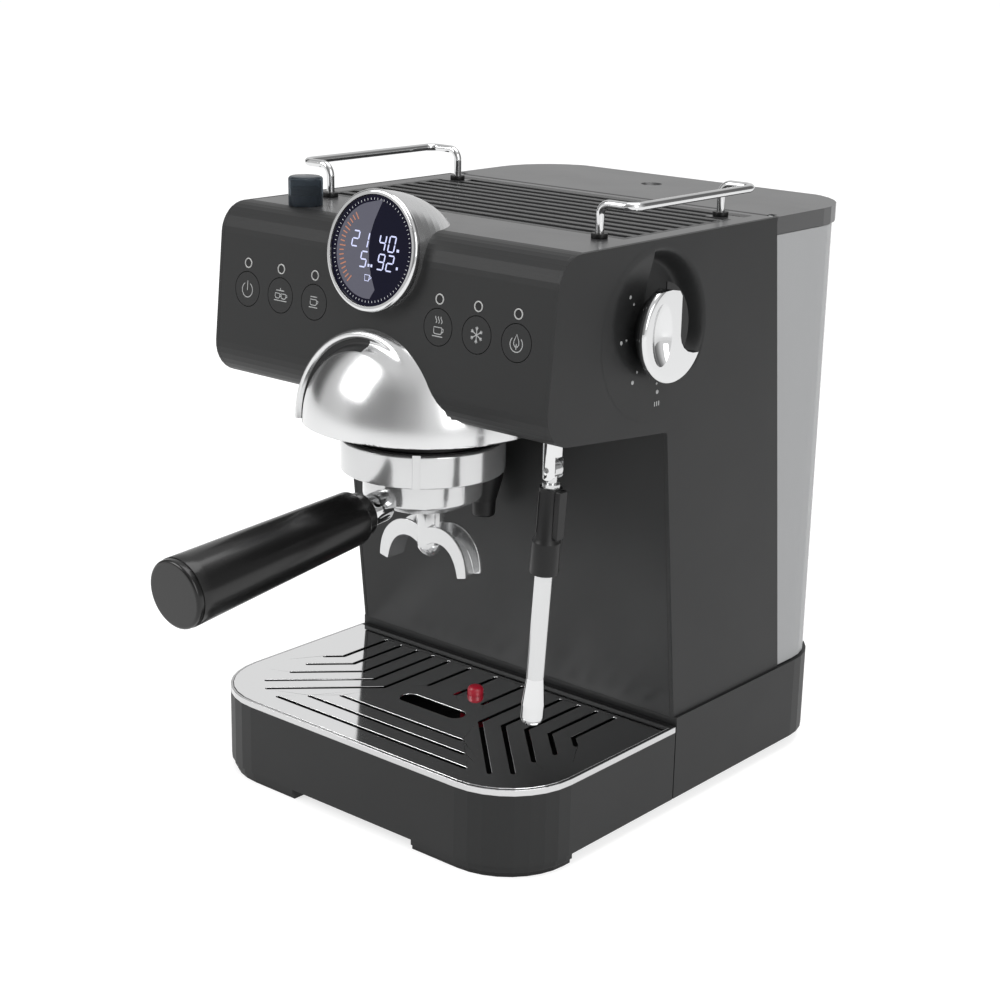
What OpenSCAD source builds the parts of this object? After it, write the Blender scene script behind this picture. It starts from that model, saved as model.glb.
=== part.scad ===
// Espresso machine: a slim pump machine with a clip-on portafilter, a steam wand, a rear water
// tank and a cup rack. X runs across the machine, Y from front to back and Z up. The modules are
// written about the machine's middle plane (x = 0) and the foot of the column (y = 0); in_frame()
// then moves the whole machine so that the origin is the bottom centre of its bounding box.

/* [Body] */
// Width across the base and the drip tray
body_w = 240; // [232:1:256]
// Height of the top surface above the counter
top_z = 325.3; // [321:0.1:345]
// How far the drip tray reaches in front of the column
tray_reach = 139; // [137:1:160]
// How far the water tank's lid reaches behind the foot of the column
tank_reach = 166; // [160:1:190]
// Height of the base, under the column and the tank
base_z = 56; // [54:1:60]
// Forward lean of the column and of the tank's front, in degrees
lean = 6.5; // [5:0.1:7.5]
// Backward rake of the control panel, in degrees
rake = 5.5; // [4:0.1:6]
// Thickness of the moulded casing
wall = 2.5; // [2:0.1:3]

/* [Controls] */
// Diameter of a push button
button_d = 18.5; // [16:0.5:21]
// Spacing of the push buttons
button_pitch = 25.6; // [24.5:0.1:26]
// Distance of the first button from the middle
button_first_x = 44.1; // [42:0.1:46]
// How far a button goes in
button_travel = 1.5; // [0.5:0.1:2]
// Radius of the display's ring
ring_r = 31.3; // [28:0.1:33]
// Radius of the steam knob
knob_r = 26.5; // [24:0.5:28]

/* [Brewing] */
// Radius of the portafilter's bowl
bowl_r = 32.5; // [32:0.1:34]
// Radius of the locking ring
lock_ring_r = 44.7; // [44:0.1:48]
// Radius of the hood over the group
hood_r = 65.5; // [62:0.5:68]
// Length of the handle's grip
grip_len = 126; // [110:1:140]
// Turn of the portafilter from locked to free, in degrees
unlock_turn = 50; // [48:1:56]

/* [Drip tray] */
// Height of the drip plate above the counter
plate_z = 51; // [48:0.5:53]
// Width of a drain slot
slot_w = 2.6; // [2:0.1:4]
// Spacing of the drain slots
slot_pitch = 12.8; // [12:0.1:14]

/* [Steam wand] */
// Outside diameter of the wand
wand_d = 9.3; // [8:0.1:10]
// Length of the wand, from its pivot to its tip
wand_len = 141; // [120:1:144]

/* [Hidden] */
$fn = 64;

// Fits
running_gap = 0.05;   // radial clearance of a pin or a shaft that turns
slide_gap = 0.4;      // clearance of a piece that slides or lifts out
seam = 0.3;           // visible seam between moving casings

// Casing
head_w = body_w - 3;
inner_w = head_w - 2 * wall;
column_foot_y = -3.6;
tank_foot_y = 101.5;
head_front_y = -124.2;
head_low_z = top_z - 92.9;
top_radius = 17;
chin_radius = 18;
plan_radius = 43;
base_front_y = -2.5;
base_low_z = 7;
base_rear_y = tank_reach - 5;

function column_y(z) = column_foot_y - tan(lean) * (z - base_z);
function seam_y(z) = tank_foot_y - tan(lean) * (z - base_z);
function panel_y(z) = head_front_y + tan(rake) * (z - head_low_z);
function under_z(y) = head_low_z - tan(rake) * (y - head_front_y);

// The corner where the head's underside meets the column
throat_z = (head_low_z - tan(rake) * (column_foot_y + tan(lean) * base_z - head_front_y))
    / (1 - tan(rake) * tan(lean));
throat_y = column_y(throat_z);

// Side outline of the column and the head: [y, z, corner radius]
head_outline = [
    [column_y(base_z), base_z, 0],
    [seam_y(base_z), base_z, 0],
    [seam_y(top_z), top_z, 0],
    [panel_y(top_z), top_z, top_radius],
    [head_front_y, head_low_z, chin_radius],
    [throat_y, throat_z, 2]
];

// Group
drain_room = 17.36;   // from the lock ring to the column, for the drain nozzle
group_y = column_y(top_z - 132.9) - drain_room - lock_ring_r;
lock_low_z = top_z - 132.9;
lock_h = 18;
hood_low_z = top_z - 105.3;
lip_h = 4.1;
lip_r = bowl_r + 0.9;
groove_r = lock_ring_r - 4.1;
lug_r = groove_r - 0.7;
lug_half_angle = 20;
bowl_top_z = lock_low_z + 8.2;
bowl_low_z = lock_low_z - 20.4;
spout_back = 6.7;

// Handle: leaves the bowl straight ahead and droops a little
handle_droop = 5.4;
handle_z = lock_low_z - 12;
neck_start = 30;
neck_end = 46;
grip_start = 47;
grip_r = 18.1;
grip_neck_r = 14.6;

// Display
ring_y = -120.9;
ring_z = top_z - 10.8;
ring_tilt = 10;
ring_depth = 3.6;
glass_r = ring_r - 2.8;
drum_r = ring_r - 2.6;
drum_depth = 17;

// The hood stays under the display
hood_in = (group_y - panel_y(hood_low_z)) * cos(rake);
hood_room = ring_z - ring_r - 3 - hood_low_z - hood_in * sin(rake);
hood_out_r = min(hood_r, norm([hood_room, hood_in]));

// Buttons
button_z = top_z - 44;
lamp_z = top_z - 29.9;
lamp_d = 5.6;
button_x = [for (side = [-1, 1], i = [0:2]) side * (button_first_x + i * button_pitch)];

// Steam knob and wand
knob_y = -36.1;
knob_z = top_z - 46.2;
dish_z = top_z - 48;
knob_h = 13;
knob_stem_r = 19;     // where the knob meets its shaft's collar
dish_r = 43;
dish_depth = 15;
pocket_depth = 13;
dish_tilt = atan(dish_depth / (2 * dish_r));
knob_back_x = head_w / 2 - 1.2;
knob_front_x = knob_back_x + knob_h;
shaft_r = 3;
wand_x = 104.5;
wand_y = -100;
wand_pivot_z = top_z - 109.3;
wand_tilt = 3.7;
wand_reach = min(wand_len, wand_pivot_z - plate_z - 12); // stays clear of the drip plate
wand_hole_r = 5.2;

// Tray
trim_h = 3.8;
trim_t = 1.5;
plate_t = 1.2;
tray_rear_y = base_front_y - 0.8;
tray_floor_z = 11;
rear_rim = 3;         // strip behind the drip plate, so that the plate lifts clear of the column
float_x = 7.8;
float_y = -43.2;

// Tank
tank_w = head_w - 1;
tank_low_z = base_z + 0.6;
tank_high_z = top_z - 10;
tank_wall = 2.4;
lid_low_z = tank_high_z + seam;
hinge_r = 1.2;
hinge_y = seam_y(top_z) + 4;
hinge_z = top_z - 2.9;
tank_valve_x = 88;
tank_valve_y = 126;

// Rack
rail_x = 95;
rail_out = 21;
rail_y = [-56, 51];
rail_d = 4.4;
rail_z = top_z + 17.6;
rail_bend = 6;

// Vent
vent_x = -82;
vent_y = -88;

// The machine's bounding box, which puts the origin under its middle
grip_end = grip_start + grip_len + 4;
x_high = knob_front_x;
x_low = -body_w / 2;
y_low = group_y - grip_end * cos(handle_droop) - grip_r * sin(handle_droop);
y_high = tank_reach;

module in_frame() {
    translate([-(x_low + x_high) / 2, -(y_low + y_high) / 2, 0]) children();
}

// ---- Outlines with round corners ----

function unit(v) = v / norm(v);
function flat(p) = [p[0], p[1]];
function turn(a, b) = a[0] * b[1] - a[1] * b[0];

// Points of one corner b, between a and c, rounded with radius r
function corner(a, b, c, r, steps = 8) =
    r <= 0 ? [b] :
    let (
        to_a = unit(a - b),
        to_c = unit(c - b),
        half = acos(to_a * to_c) / 2,
        centre = b + unit(to_a + to_c) * r / sin(half),
        first = b + to_a * r / tan(half) - centre,
        last = b + to_c * r / tan(half) - centre,
        start = atan2(first[1], first[0]),
        sweep = sign(turn(first, last)) * acos(unit(first) * unit(last))
    )
    [for (i = [0:steps]) centre + r * [cos(start + sweep * i / steps), sin(start + sweep * i / steps)]];

// An outline whose points are [x, y, radius]
function rounded(p) = [
    for (i = [0:len(p) - 1])
        for (q = corner(flat(p[(i + len(p) - 1) % len(p)]), flat(p[i]), flat(p[(i + 1) % len(p)]), p[i][2])) q
];

// The same outline, anticlockwise, moved inwards by t
function inset(p, t) = [
    for (i = [0:len(p) - 1])
        let (
            a = flat(p[(i + len(p) - 1) % len(p)]),
            b = flat(p[i]),
            c = flat(p[(i + 1) % len(p)]),
            into = unit(b - a),
            out = unit(c - b),
            n1 = [-into[1], into[0]],
            n2 = [-out[1], out[0]],
            q = b + t * (n1 + n2) / (1 + n1 * n2),
            r = turn(into, out) > 0 ? max(p[i][2] - t, 0) : p[i][2] + t
        )
        [q[0], q[1], p[i][2] > 0 ? r : 0]
];

// A side outline (y, z) stretched across the machine from x0 to x1
module across(x0, x1) {
    translate([x0, 0, 0]) rotate([90, 0, 90]) linear_extrude(x1 - x0) children();
}

module plan(z0, z1) {
    translate([0, 0, z0]) linear_extrude(z1 - z0) children();
}

module tube(r_out, r_in, h) {
    difference() {
        cylinder(h = h, r = r_out);
        translate([0, 0, -1]) cylinder(h = h + 2, r = r_in);
    }
}

// Places children on the control panel with +Z pointing out of it
module on_panel(x, z) {
    translate([x, panel_y(z), z]) rotate([90 - rake, 0, 0]) children();
}

// Places children on the display's axis, +Z pointing at the user
module on_display() {
    translate([0, ring_y, ring_z]) rotate([90 - ring_tilt, 0, 0]) children();
}

module on_group(z) {
    translate([0, group_y, z]) children();
}

// Places children on the handle's axis, +Z pointing along the handle
module on_handle() {
    translate([0, group_y, handle_z]) rotate([90 + handle_droop, 0, 0]) children();
}

// Places children on the wand's axis, +Z pointing down to its tip
module on_wand() {
    translate([wand_x, wand_y, wand_pivot_z]) rotate([0, 180 + wand_tilt, 0]) children();
}

module head_block(w = inner_w) {
    across(-w / 2, w / 2) polygon(rounded(head_outline));
}

// ---- Base ----

// Plan of the base: square at the column, round at the rear corners
module base_plan(side_in, front_y, rear_y) {
    polygon(rounded([
        [-body_w / 2 + side_in, front_y, 0],
        [body_w / 2 - side_in, front_y, 0],
        [body_w / 2 - side_in, rear_y, plan_radius - side_in],
        [-body_w / 2 + side_in, rear_y, plan_radius - side_in]
    ]));
}

// Plan of the tray: round at the front corners
module tray_plan(in, rear_y) {
    polygon(rounded([
        [-body_w / 2 + in, -tray_reach + in, plan_radius - in],
        [body_w / 2 - in, -tray_reach + in, plan_radius - in],
        [body_w / 2 - in, rear_y, 0],
        [-body_w / 2 + in, rear_y, 0]
    ]));
}

module base_pan() {
    color("#26282a") {
        plan(3, base_low_z - 0.4) {
            difference() {
                tray_plan(9, 90);
                translate([-45, -tray_reach]) square([90, 22]);
            }
        }
        plan(3, base_low_z - 0.4) front_pad_plan(1.5);
        plan(3, base_low_z) base_plan(9, 80, base_rear_y - 9);
    }
}

// The two corner pads under the tray
module front_pad_plan(in) {
    intersection() {
        difference() {
            tray_plan(in, 0);
            tray_plan(in + 22, 0);
        }
        union() {
            translate([-body_w / 2, -tray_reach]) square([75, 48]);
            translate([body_w / 2 - 75, -tray_reach]) square([75, 48]);
        }
    }
}

module feet() {
    color("#1b1c1d") {
        plan(0, 3) front_pad_plan(3);
        for (side = [-1, 1])
            translate([side * 88, base_rear_y - 38, 0]) cylinder(h = 3, r = 11);
    }
}

module base_shell() {
    color("#2c2e30")
    difference() {
        intersection() {
            plan(base_low_z, base_z) base_plan(0, base_front_y, base_rear_y);
            across(-body_w / 2, body_w / 2) polygon(rounded([
                [base_front_y, base_low_z, 0],
                [base_rear_y, base_low_z, 16],
                [base_rear_y, base_z, 0],
                [base_front_y, base_z, 0]
            ]));
        }
        intersection() {
            plan(base_low_z + wall, base_z - wall)
                base_plan(wall, base_front_y + wall, base_rear_y - wall);
            across(-body_w / 2, body_w / 2) polygon(rounded([
                [base_front_y, base_low_z + wall, 0],
                [base_rear_y - wall, base_low_z + wall, 14],
                [base_rear_y - wall, base_z, 0],
                [base_front_y, base_z, 0]
            ]));
        }
        plan(base_z - 2 * wall, base_z + 1) translate([-inner_w / 2 + 6, 4]) square([inner_w - 12, tank_foot_y - 16]);
        translate([tank_valve_x, tank_valve_y, base_z - 2 * wall]) cylinder(h = 3 * wall, r = 12);
        translate([inlet_x, base_rear_y - wall - 1, inlet_z]) rotate([-90, 0, 0])
            linear_extrude(3 * wall) square([28, 20], center = true);
    }
}

// ---- Column and head ----

module side_plate(x0) {
    across(x0, x0 + wall) polygon(rounded(head_outline));
}

module side_panel_left() {
    color("#35383a") side_plate(-head_w / 2);
}

module dish_axis() {
    translate([head_w / 2, knob_y - dish_r, dish_z]) rotate([0, 0, dish_tilt])
        translate([0, dish_r, 0]) rotate([0, 90, 0]) children();
}

module side_panel_right() {
    color("#35383a")
    difference() {
        union() {
            side_plate(head_w / 2 - wall);
            translate([head_w / 2 - dish_depth - wall, knob_y + 1, dish_z]) rotate([0, 90, 0])
                cylinder(h = dish_depth, r = dish_r + 1.6);
        }
        dish_axis() cylinder(h = 30, r = dish_r);
        intersection() {
            translate([head_w / 2 - pocket_depth, knob_y, dish_z]) rotate([0, 90, 0])
                cylinder(h = 30, r = dish_r - 1.2);
            translate([0, knob_y - 4.5, dish_z - 24]) cube([head_w, 100, 100]);
        }
        translate([0, knob_y, knob_z]) rotate([0, 90, 0]) cylinder(h = head_w, r = shaft_r + 0.4);
    }
}

module front_panel() {
    color("#2f3234")
    difference() {
        across(-inner_w / 2, inner_w / 2) {
            intersection() {
                difference() {
                    polygon(rounded(head_outline));
                    polygon(rounded(inset(head_outline, wall)));
                }
                union() {
                    translate([-200, head_low_z - 20]) square([200 + cover_front_y, 200]);
                    translate([-200, head_low_z - 20]) square([200 + throat_y - 0.2, 30]);
                }
            }
        }
        on_display() translate([0, 0, -40]) cylinder(h = 80, r = drum_r + 0.15);
        for (x = button_x) {
            on_panel(x, button_z) translate([0, 0, -8]) cylinder(h = 16, r = button_d / 2 + slide_gap);
            on_panel(x, lamp_z) translate([0, 0, -8]) cylinder(h = 16, r = lamp_d / 2);
        }
        on_group(lock_low_z) cylinder(h = 60, r = lock_ring_r + 1.3);
        translate([0, drain_y, lock_low_z]) cylinder(h = 60, r = drain_r);
        translate([wand_x, wand_y, lock_low_z]) cylinder(h = 60, r = wand_hole_r + running_gap);
    }
}
cover_front_y = panel_y(top_z) + top_radius + 2;
drain_r = 5.6;
drain_y = column_y(lock_low_z) - 10.8;
funnel_r = 10.6;
funnel_top_z = lock_low_z - 1.3;

module splash_panel() {
    color("#303335")
    across(-inner_w / 2, inner_w / 2) polygon([
        [column_y(base_z), base_z],
        [column_y(base_z) + wall, base_z],
        [column_y(throat_z - 0.1) + wall, throat_z - 0.1],
        [column_y(throat_z - 0.1), throat_z - 0.1]
    ]);
}

module rear_wall() {
    color("#2b2d2f")
    across(-inner_w / 2, inner_w / 2) polygon([
        [seam_y(base_z) - wall, base_z],
        [seam_y(base_z), base_z],
        [seam_y(top_z - wall), top_z - wall],
        [seam_y(top_z - wall) - wall, top_z - wall]
    ]);
}

module top_cover() {
    color("#5c6063")
    difference() {
        across(-inner_w / 2, inner_w / 2) polygon([
            [cover_front_y, top_z - wall],
            [seam_y(top_z - wall), top_z - wall],
            [seam_y(top_z), top_z],
            [cover_front_y, top_z]
        ]);
        plan(top_z - 10, top_z + 1) cup_tray_plan(0);
        for (side = [-1, 1], y = rail_y)
            translate([side * rail_x, y, top_z - 10]) cylinder(h = 12, r = rail_d / 2 + 0.15);
        translate([vent_x, vent_y, top_z - 10]) cylinder(h = 20, r = 8.1);
    }
}

rack_front_y = -50;
rack_rear_y = 65;
rack_half_w = 106;
module cup_tray_plan(in) {
    difference() {
        translate([-rack_half_w + in, rack_front_y + in])
            square([2 * (rack_half_w - in), rack_rear_y - rack_front_y - 2 * in]);
        for (side = [-1, 1])
            translate([side * (rail_x + 6), rail_y[1]]) square([24 + 2 * in, 12 + 2 * in], center = true);
    }
}

// Ribbed plate that warms the cups
groove_pitch = 10.8;
module cup_tray() {
    color("#3b3e40")
    difference() {
        plan(top_z - 3.2, top_z) cup_tray_plan(0.2);
        plan(top_z - 1.8, top_z + 1)
            for (y = [rack_front_y + 5:groove_pitch:rack_rear_y - 5])
                translate([-rack_half_w + 3, y]) square([2 * rack_half_w - 6, groove_pitch * 0.55]);
    }
}

// A quarter bend of the rail, from +X round to +Y
module rail_quarter() {
    rotate_extrude(angle = 90, $fn = 48) translate([rail_bend, 0]) circle(d = rail_d, $fn = 32);
}

module rail_end(y, ahead) {
    z_post = top_z - 4;
    x_out = rail_x + rail_out;
    translate([rail_x, y, z_post]) cylinder(h = rail_z - rail_bend - z_post, d = rail_d, $fn = 32);
    translate([rail_x + rail_bend, y, rail_z - rail_bend]) rotate([90, 0, 180])
        rail_quarter();
    translate([rail_x + rail_bend, y, rail_z]) rotate([0, 90, 0])
        cylinder(h = rail_out - 2 * rail_bend, d = rail_d, $fn = 32);
    translate([x_out - rail_bend, y + ahead * rail_bend, rail_z]) rotate([0, 0, ahead > 0 ? -90 : 0])
        rail_quarter();
}

module cup_rails() {
    color("#d9dadb")
    for (side = [0, 1]) mirror([side, 0, 0]) {
        rail_end(rail_y[0], 1);
        rail_end(rail_y[1], -1);
        translate([rail_x + rail_out, rail_y[0] + rail_bend, rail_z]) rotate([-90, 0, 0])
            cylinder(h = rail_y[1] - rail_y[0] - 2 * rail_bend, d = rail_d, $fn = 32);
    }
}

module rail_grommets() {
    color("#151617")
    for (side = [-1, 1], y = rail_y)
        translate([side * rail_x, y, top_z]) tube(4.3, rail_d / 2, 2.6);
}

module vent_cap() {
    color("#4a5560", 0.6)
    translate([vent_x, vent_y, top_z]) difference() {
        rotate_extrude() polygon(rounded([[0, 0, 0], [11.5, 0, 0], [11, 15, 3], [0, 15, 0]]));
        translate([0, 0, -1]) cylinder(h = 13.4, r = 9.6);
    }
}

module vent_stem() {
    color("#1d2733")
    translate([vent_x, vent_y, top_z - 8]) cylinder(h = 17.5, r = 8);
}

// ---- Display ----

dome_r = ring_r - 0.6;
dome_len = 53;
module display_dome() {
    color("#dcdddf")
    difference() {
        translate([0, ring_y + 2, ring_z]) rotate([-90 - ring_tilt / 2, 0, 0]) rotate_extrude($fn = 96)
            polygon(concat([[0, 0]], [for (i = [0:16])
                [dome_r * cos(90 * i / 16), dome_len * sin(90 * i / 16)]]));
        head_block(head_w);
        on_display() translate([0, 0, -ring_depth / 2]) cylinder(h = 80, r = 2 * ring_r);
        on_display() translate([0, 0, -drum_depth]) cylinder(h = 80, r = drum_r + 0.1);
    }
}

module display_drum() {
    color("#141517")
    on_display() translate([0, 0, -drum_depth])
        cylinder(h = drum_depth - ring_depth / 2, r = drum_r);
}

module display_ring() {
    color("#d6d7d9")
    on_display() translate([0, 0, -ring_depth / 2]) difference() {
        rotate_extrude() polygon(rounded([
            [0, 0, 0], [ring_r, 0, 0.8], [ring_r, ring_depth, 1.6], [0, ring_depth, 0]
        ]));
        translate([0, 0, 0.8]) cylinder(h = 10, r = glass_r);
    }
}

module display_glass() {
    color("#10122b", 0.9)
    on_display() translate([0, 0, -ring_depth / 2 + 0.8]) cylinder(h = 1.6, r = glass_r - 0.1);
}

// ---- Buttons ----

module button(i) {
    color("#2a2c2e")
    on_panel(button_x[i], button_z) {
        translate([0, 0, -wall - 1]) cylinder(h = wall + 1, r = button_d / 2);
        translate([0, 0, -wall - 3]) cylinder(h = 2.2, r = button_d / 2 + 1.5);
    }
}

module button_two_cups() { button(1); }
module button_power() { button(2); }
module button_one_cup() { button(0); }
module button_hot_water() { button(3); }
module button_cold() { button(4); }
module button_steam() { button(5); }

// Circuit board behind the buttons, with a switch under each
switch_h = 3;
board_back = wall + 3 + button_travel + 0.2 + switch_h;
module button_board() {
    color("#1f5a3c")
    for (side = [-1, 1])
        on_panel(side * (button_first_x + button_pitch), button_z) {
            translate([0, 6, -board_back - 0.8]) cube([2 * button_pitch + 18, 38, 1.6], center = true);
            for (i = [-1:1])
                translate([i * button_pitch, 0, -board_back]) cylinder(h = switch_h, r = 2.4);
        }
}

module indicator_rings() {
    color("#f0f0ee")
    for (x = button_x)
        on_panel(x, lamp_z) translate([0, 0, -wall]) tube(lamp_d / 2 - 0.05, 1.6, wall + 0.2);
}

// ---- Group ----

module group_hood() {
    color("#e3e4e5")
    difference() {
        on_group(hood_low_z) difference() {
            sphere(r = hood_out_r, $fn = 96);
            sphere(r = hood_out_r - 1.8, $fn = 96);
            translate([0, 0, -hood_out_r]) cube(2 * hood_out_r + 2, center = true);
        }
        head_block(head_w);
        translate([-100, group_y + 18, hood_low_z - 10]) cube([200, 100, 60]);
    }
}

module lock_ring() {
    color("#dadbdc")
    on_group(lock_low_z) difference() {
        rotate_extrude() polygon(rounded([
            [0, 0, 0], [lock_ring_r, 0, 1], [lock_ring_r, lock_h, 1.6], [0, lock_h, 0]
        ]));
        translate([0, 0, -1]) cylinder(h = lip_h + 2, r = lip_r);
        translate([0, 0, lip_h]) cylinder(h = lock_h, r = groove_r);
        for (side = [0, 180]) rotate([0, 0, side - unlock_turn]) translate([0, 0, -1])
            sector(groove_r - 0.02, lug_half_angle + 3, lip_h + 2);
        translate([0, 0, lip_h + 1]) rotate([0, 0, -52]) translate([lock_ring_r, 0, 6])
            cube([2.4, 4.4, 30], center = true);
    }
}

// A pie slice of radius r either side of +X, height h
module sector(r, half, h) {
    intersection() {
        cylinder(h = h, r = r);
        linear_extrude(h) polygon([[0, 0], [1.4 * r, -1.4 * r * tan(half)], [1.4 * r, 1.4 * r * tan(half)]]);
    }
}

gasket_low_z = bowl_top_z + 1.3;
gasket_h = 4;
module group_head() {
    color("#b9a06a")
    on_group(gasket_low_z + gasket_h) {
        difference() {
            cylinder(h = lock_low_z + lock_h - gasket_low_z - gasket_h, r = groove_r - 0.05);
            translate([0, 0, -1]) cylinder(h = 2.5, r = 24);
        }
        translate([0, 0, lock_low_z + lock_h - gasket_low_z - gasket_h]) cylinder(h = 36, r = 38);
    }
}

module group_gasket() {
    color("#1a1a1a")
    on_group(gasket_low_z) tube(36, 28.6, gasket_h);
}

module shower_screen() {
    color("#c9cacc")
    on_group(gasket_low_z - 0.6) difference() {
        union() {
            cylinder(h = 1.6, r = 27);
            translate([0, 0, 1.6]) tube(27, 25.6, gasket_h - 1);
        }
        for (ring = [1:3], i = [0:8 * ring - 1])
            rotate([0, 0, 360 * i / (8 * ring)]) translate([7 * ring, 0, -1]) cylinder(h = 4, r = 0.9, $fn = 16);
    }
}

boiler_z = lock_low_z + lock_h + 36;
module boiler() {
    color("#9b9ea1")
    on_group(boiler_z) difference() {
        union() {
            cylinder(h = 34, r = 31);
            translate([0, 0, 12]) tube(33.5, 30, 8);
        }
        translate([0, 0, 4]) cylinder(h = 26, r = 27);
    }
}

// ---- Inside the column ----

module solenoid_valve() {
    color("#3f4347")
    translate([0, drain_y, throat_z + 8]) {
        cylinder(h = 16, r = 7);
        translate([0, 3, 28]) cube([24, 26, 24], center = true);
    }
}

module drain_nozzle() {
    color("#1c1d1e")
    translate([0, drain_y, 0])
        rotate_extrude() polygon(rounded([
            [0, drain_low_z, 0], [6.3, drain_low_z, 1.5], [6.9, drain_low_z + 9, 3],
            [funnel_r, funnel_top_z - 15, 6], [funnel_r, funnel_top_z, 1.2],
            [drain_r, funnel_top_z, 0], [drain_r, throat_z + 8, 0], [0, throat_z + 8, 0]
        ]));
}
drain_low_z = throat_z - 69;

pump_z = 108;
pump_y = 52;
module pump() {
    color("#b08d57")
    translate([-40, pump_y, pump_z]) rotate([0, 90, 0]) {
        cylinder(h = 34, r = 15);
        translate([0, 0, 34]) cylinder(h = 40, r = 20);
        translate([0, 0, 74]) cylinder(h = 12, r = 7);
    }
}

module pump_mounts() {
    color("#222325")
    for (x = [-32, 40]) translate([x, 0, 0]) {
        difference() {
            translate([-4, pump_y - 24, base_z - wall]) cube([8, 48, pump_z - base_z + wall + 6]);
            translate([-5, pump_y, pump_z]) rotate([0, 90, 0]) cylinder(h = 10, r = x < 0 ? 15 : 20);
        }
        for (side = [-1, 1])
            translate([0, pump_y + side * 20, base_z - wall - 4]) cylinder(h = 4, r = 3);
    }
}

// Supply hose from the tank's seat, and pressure hose up to the boiler
module water_hoses() {
    color("#d8d4c8") {
        hose([pump_hose_x, pump_y, pump_z], [tank_valve_x, pump_y, pump_z]);
        hose([tank_valve_x, pump_y, pump_z], [tank_valve_x, pump_y, 36]);
        hose([tank_valve_x, pump_y, 36], [tank_valve_x, tank_valve_y, 36]);
        hose([tank_valve_x, tank_valve_y, 36], [tank_valve_x, tank_valve_y, base_z - 8]);
        hose([-40, pump_y, pump_z], [-46, pump_y, pump_z]);
        hose([-46, pump_y, pump_z], [-46, pump_y, boiler_z + 26]);
        hose([-46, pump_y, boiler_z + 26], [-46, group_y, boiler_z + 26]);
        hose([-31.1, group_y, boiler_z + 26], [-46, group_y, boiler_z + 26]);
    }
}
pump_hose_x = 46;

// A straight run of hose with round ends, so that runs join at corners
module hose(a, b) {
    d = b - a;
    translate(a) rotate([0, acos(d[2] / norm(d)), atan2(d[1], d[0])]) cylinder(h = norm(d), r = 3, $fn = 24);
    translate(b) sphere(r = 3, $fn = 24);
}

module steam_valve() {
    color("#b9a06a")
    translate([head_w / 2 - 48.5, knob_y, knob_z]) rotate([0, 90, 0]) difference() {
        union() {
            cylinder(h = 12, r = 11, $fn = 6);
            translate([0, 0, 12]) cylinder(h = 17, r = 8);
        }
        translate([0, 0, 8]) cylinder(h = 40, r = shaft_r + running_gap);
    }
}

module control_board() {
    color("#1f5a3c")
    translate([-95, 12, 150]) {
        cube([1.6, 60, 90]);
        translate([1.6, 8, 50]) cube([16, 22, 26]);
        translate([1.6, 36, 12]) cube([12, 14, 30]);
    }
}

inlet_x = -60;
inlet_z = 35;
// Socket in the rear of the base that takes the mains lead
module power_inlet() {
    color("#161718")
    translate([inlet_x, base_rear_y, inlet_z]) rotate([90, 0, 0]) difference() {
        union() {
            linear_extrude(24) square([28, 20], center = true);
            translate([0, 0, -1.2]) linear_extrude(1.2) square([33, 25], center = true);
        }
        translate([0, 0, -2]) linear_extrude(18) square([24, 16], center = true);
    }
}

// ---- Steam ----

module knob_shaft() {
    color("#c9cacc")
    translate([84, knob_y, knob_z]) rotate([0, 90, 0]) cylinder(h = knob_back_x + 6 - 84, r = shaft_r);
}

// Height of the knob's domed face above its back, at radius r
scoop_in = 4.6;
scoop_low = -12.5;
// One scoop beside the knob's grip: a side outline (y, z) about the knob's axis
module scoop_outline(side, gap) {
    polygon(rounded([
        [side * (scoop_in - gap), scoop_low - gap, 7],
        [side * 40, scoop_low - gap, 0],
        [side * 40, 40, 0],
        [side * (scoop_in - gap), 40, 0]
    ]));
}

// Hollow for the thumb in the knob's face
thumb_r = 24;
thumb_depth = 4;
module steam_knob() {
    color("#dfe0e1")
    difference() {
        translate([knob_back_x, knob_y, knob_z]) rotate([0, 90, 0]) rotate_extrude($fn = 96)
            polygon(rounded([
                [0, 0, 0], [knob_stem_r, 0, 0], [knob_r - 2, 6, 4], [knob_r, knob_h - 3, 3],
                [knob_r - 2.5, knob_h, 3], [0, knob_h, 0]
            ]));
        translate([0, knob_y, knob_z]) across(knob_back_x + 4, knob_back_x + 40) scoop_outline(1, 0);
        translate([knob_front_x + thumb_r - thumb_depth, knob_y - thumb_r / 2, knob_z])
            sphere(r = thumb_r);
        translate([0, knob_y, knob_z]) rotate([0, 90, 0]) cylinder(h = knob_back_x + 6, r = shaft_r);
    }
}

// Black face let into the rear scoop of the knob
module knob_insert() {
    color("#101112")
    translate([0, knob_y, knob_z]) intersection() {
        across(knob_back_x + 4, knob_back_x + 5.2) scoop_outline(1, -0.05);
        rotate([0, 90, 0]) cylinder(h = 200, r = knob_r - 2.4);
    }
}

fork_half = 3.2;
module wand_knuckle() {
    color("#dcdddf")
    translate([wand_x, wand_y, wand_pivot_z]) difference() {
        union() {
            cylinder(h = 24, r = wand_hole_r);
            translate([0, 0, 18.4]) cylinder(h = 3, r = wand_hole_r + 2.6);
            rotate([90, 0, 0]) cylinder(h = 2 * wand_hole_r, r = wand_hole_r, center = true);
        }
        translate([-20, -fork_half, -20]) cube([40, 2 * fork_half, 27]);
        rotate([90, 0, 0]) cylinder(h = 40, r = 1.5 + running_gap, center = true);
        translate([0, 0, -10]) difference() {
            cylinder(h = 20, r = 30);
            translate([0, 0, -1]) cylinder(h = 22, r = wand_hole_r);
        }
    }
}

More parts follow.
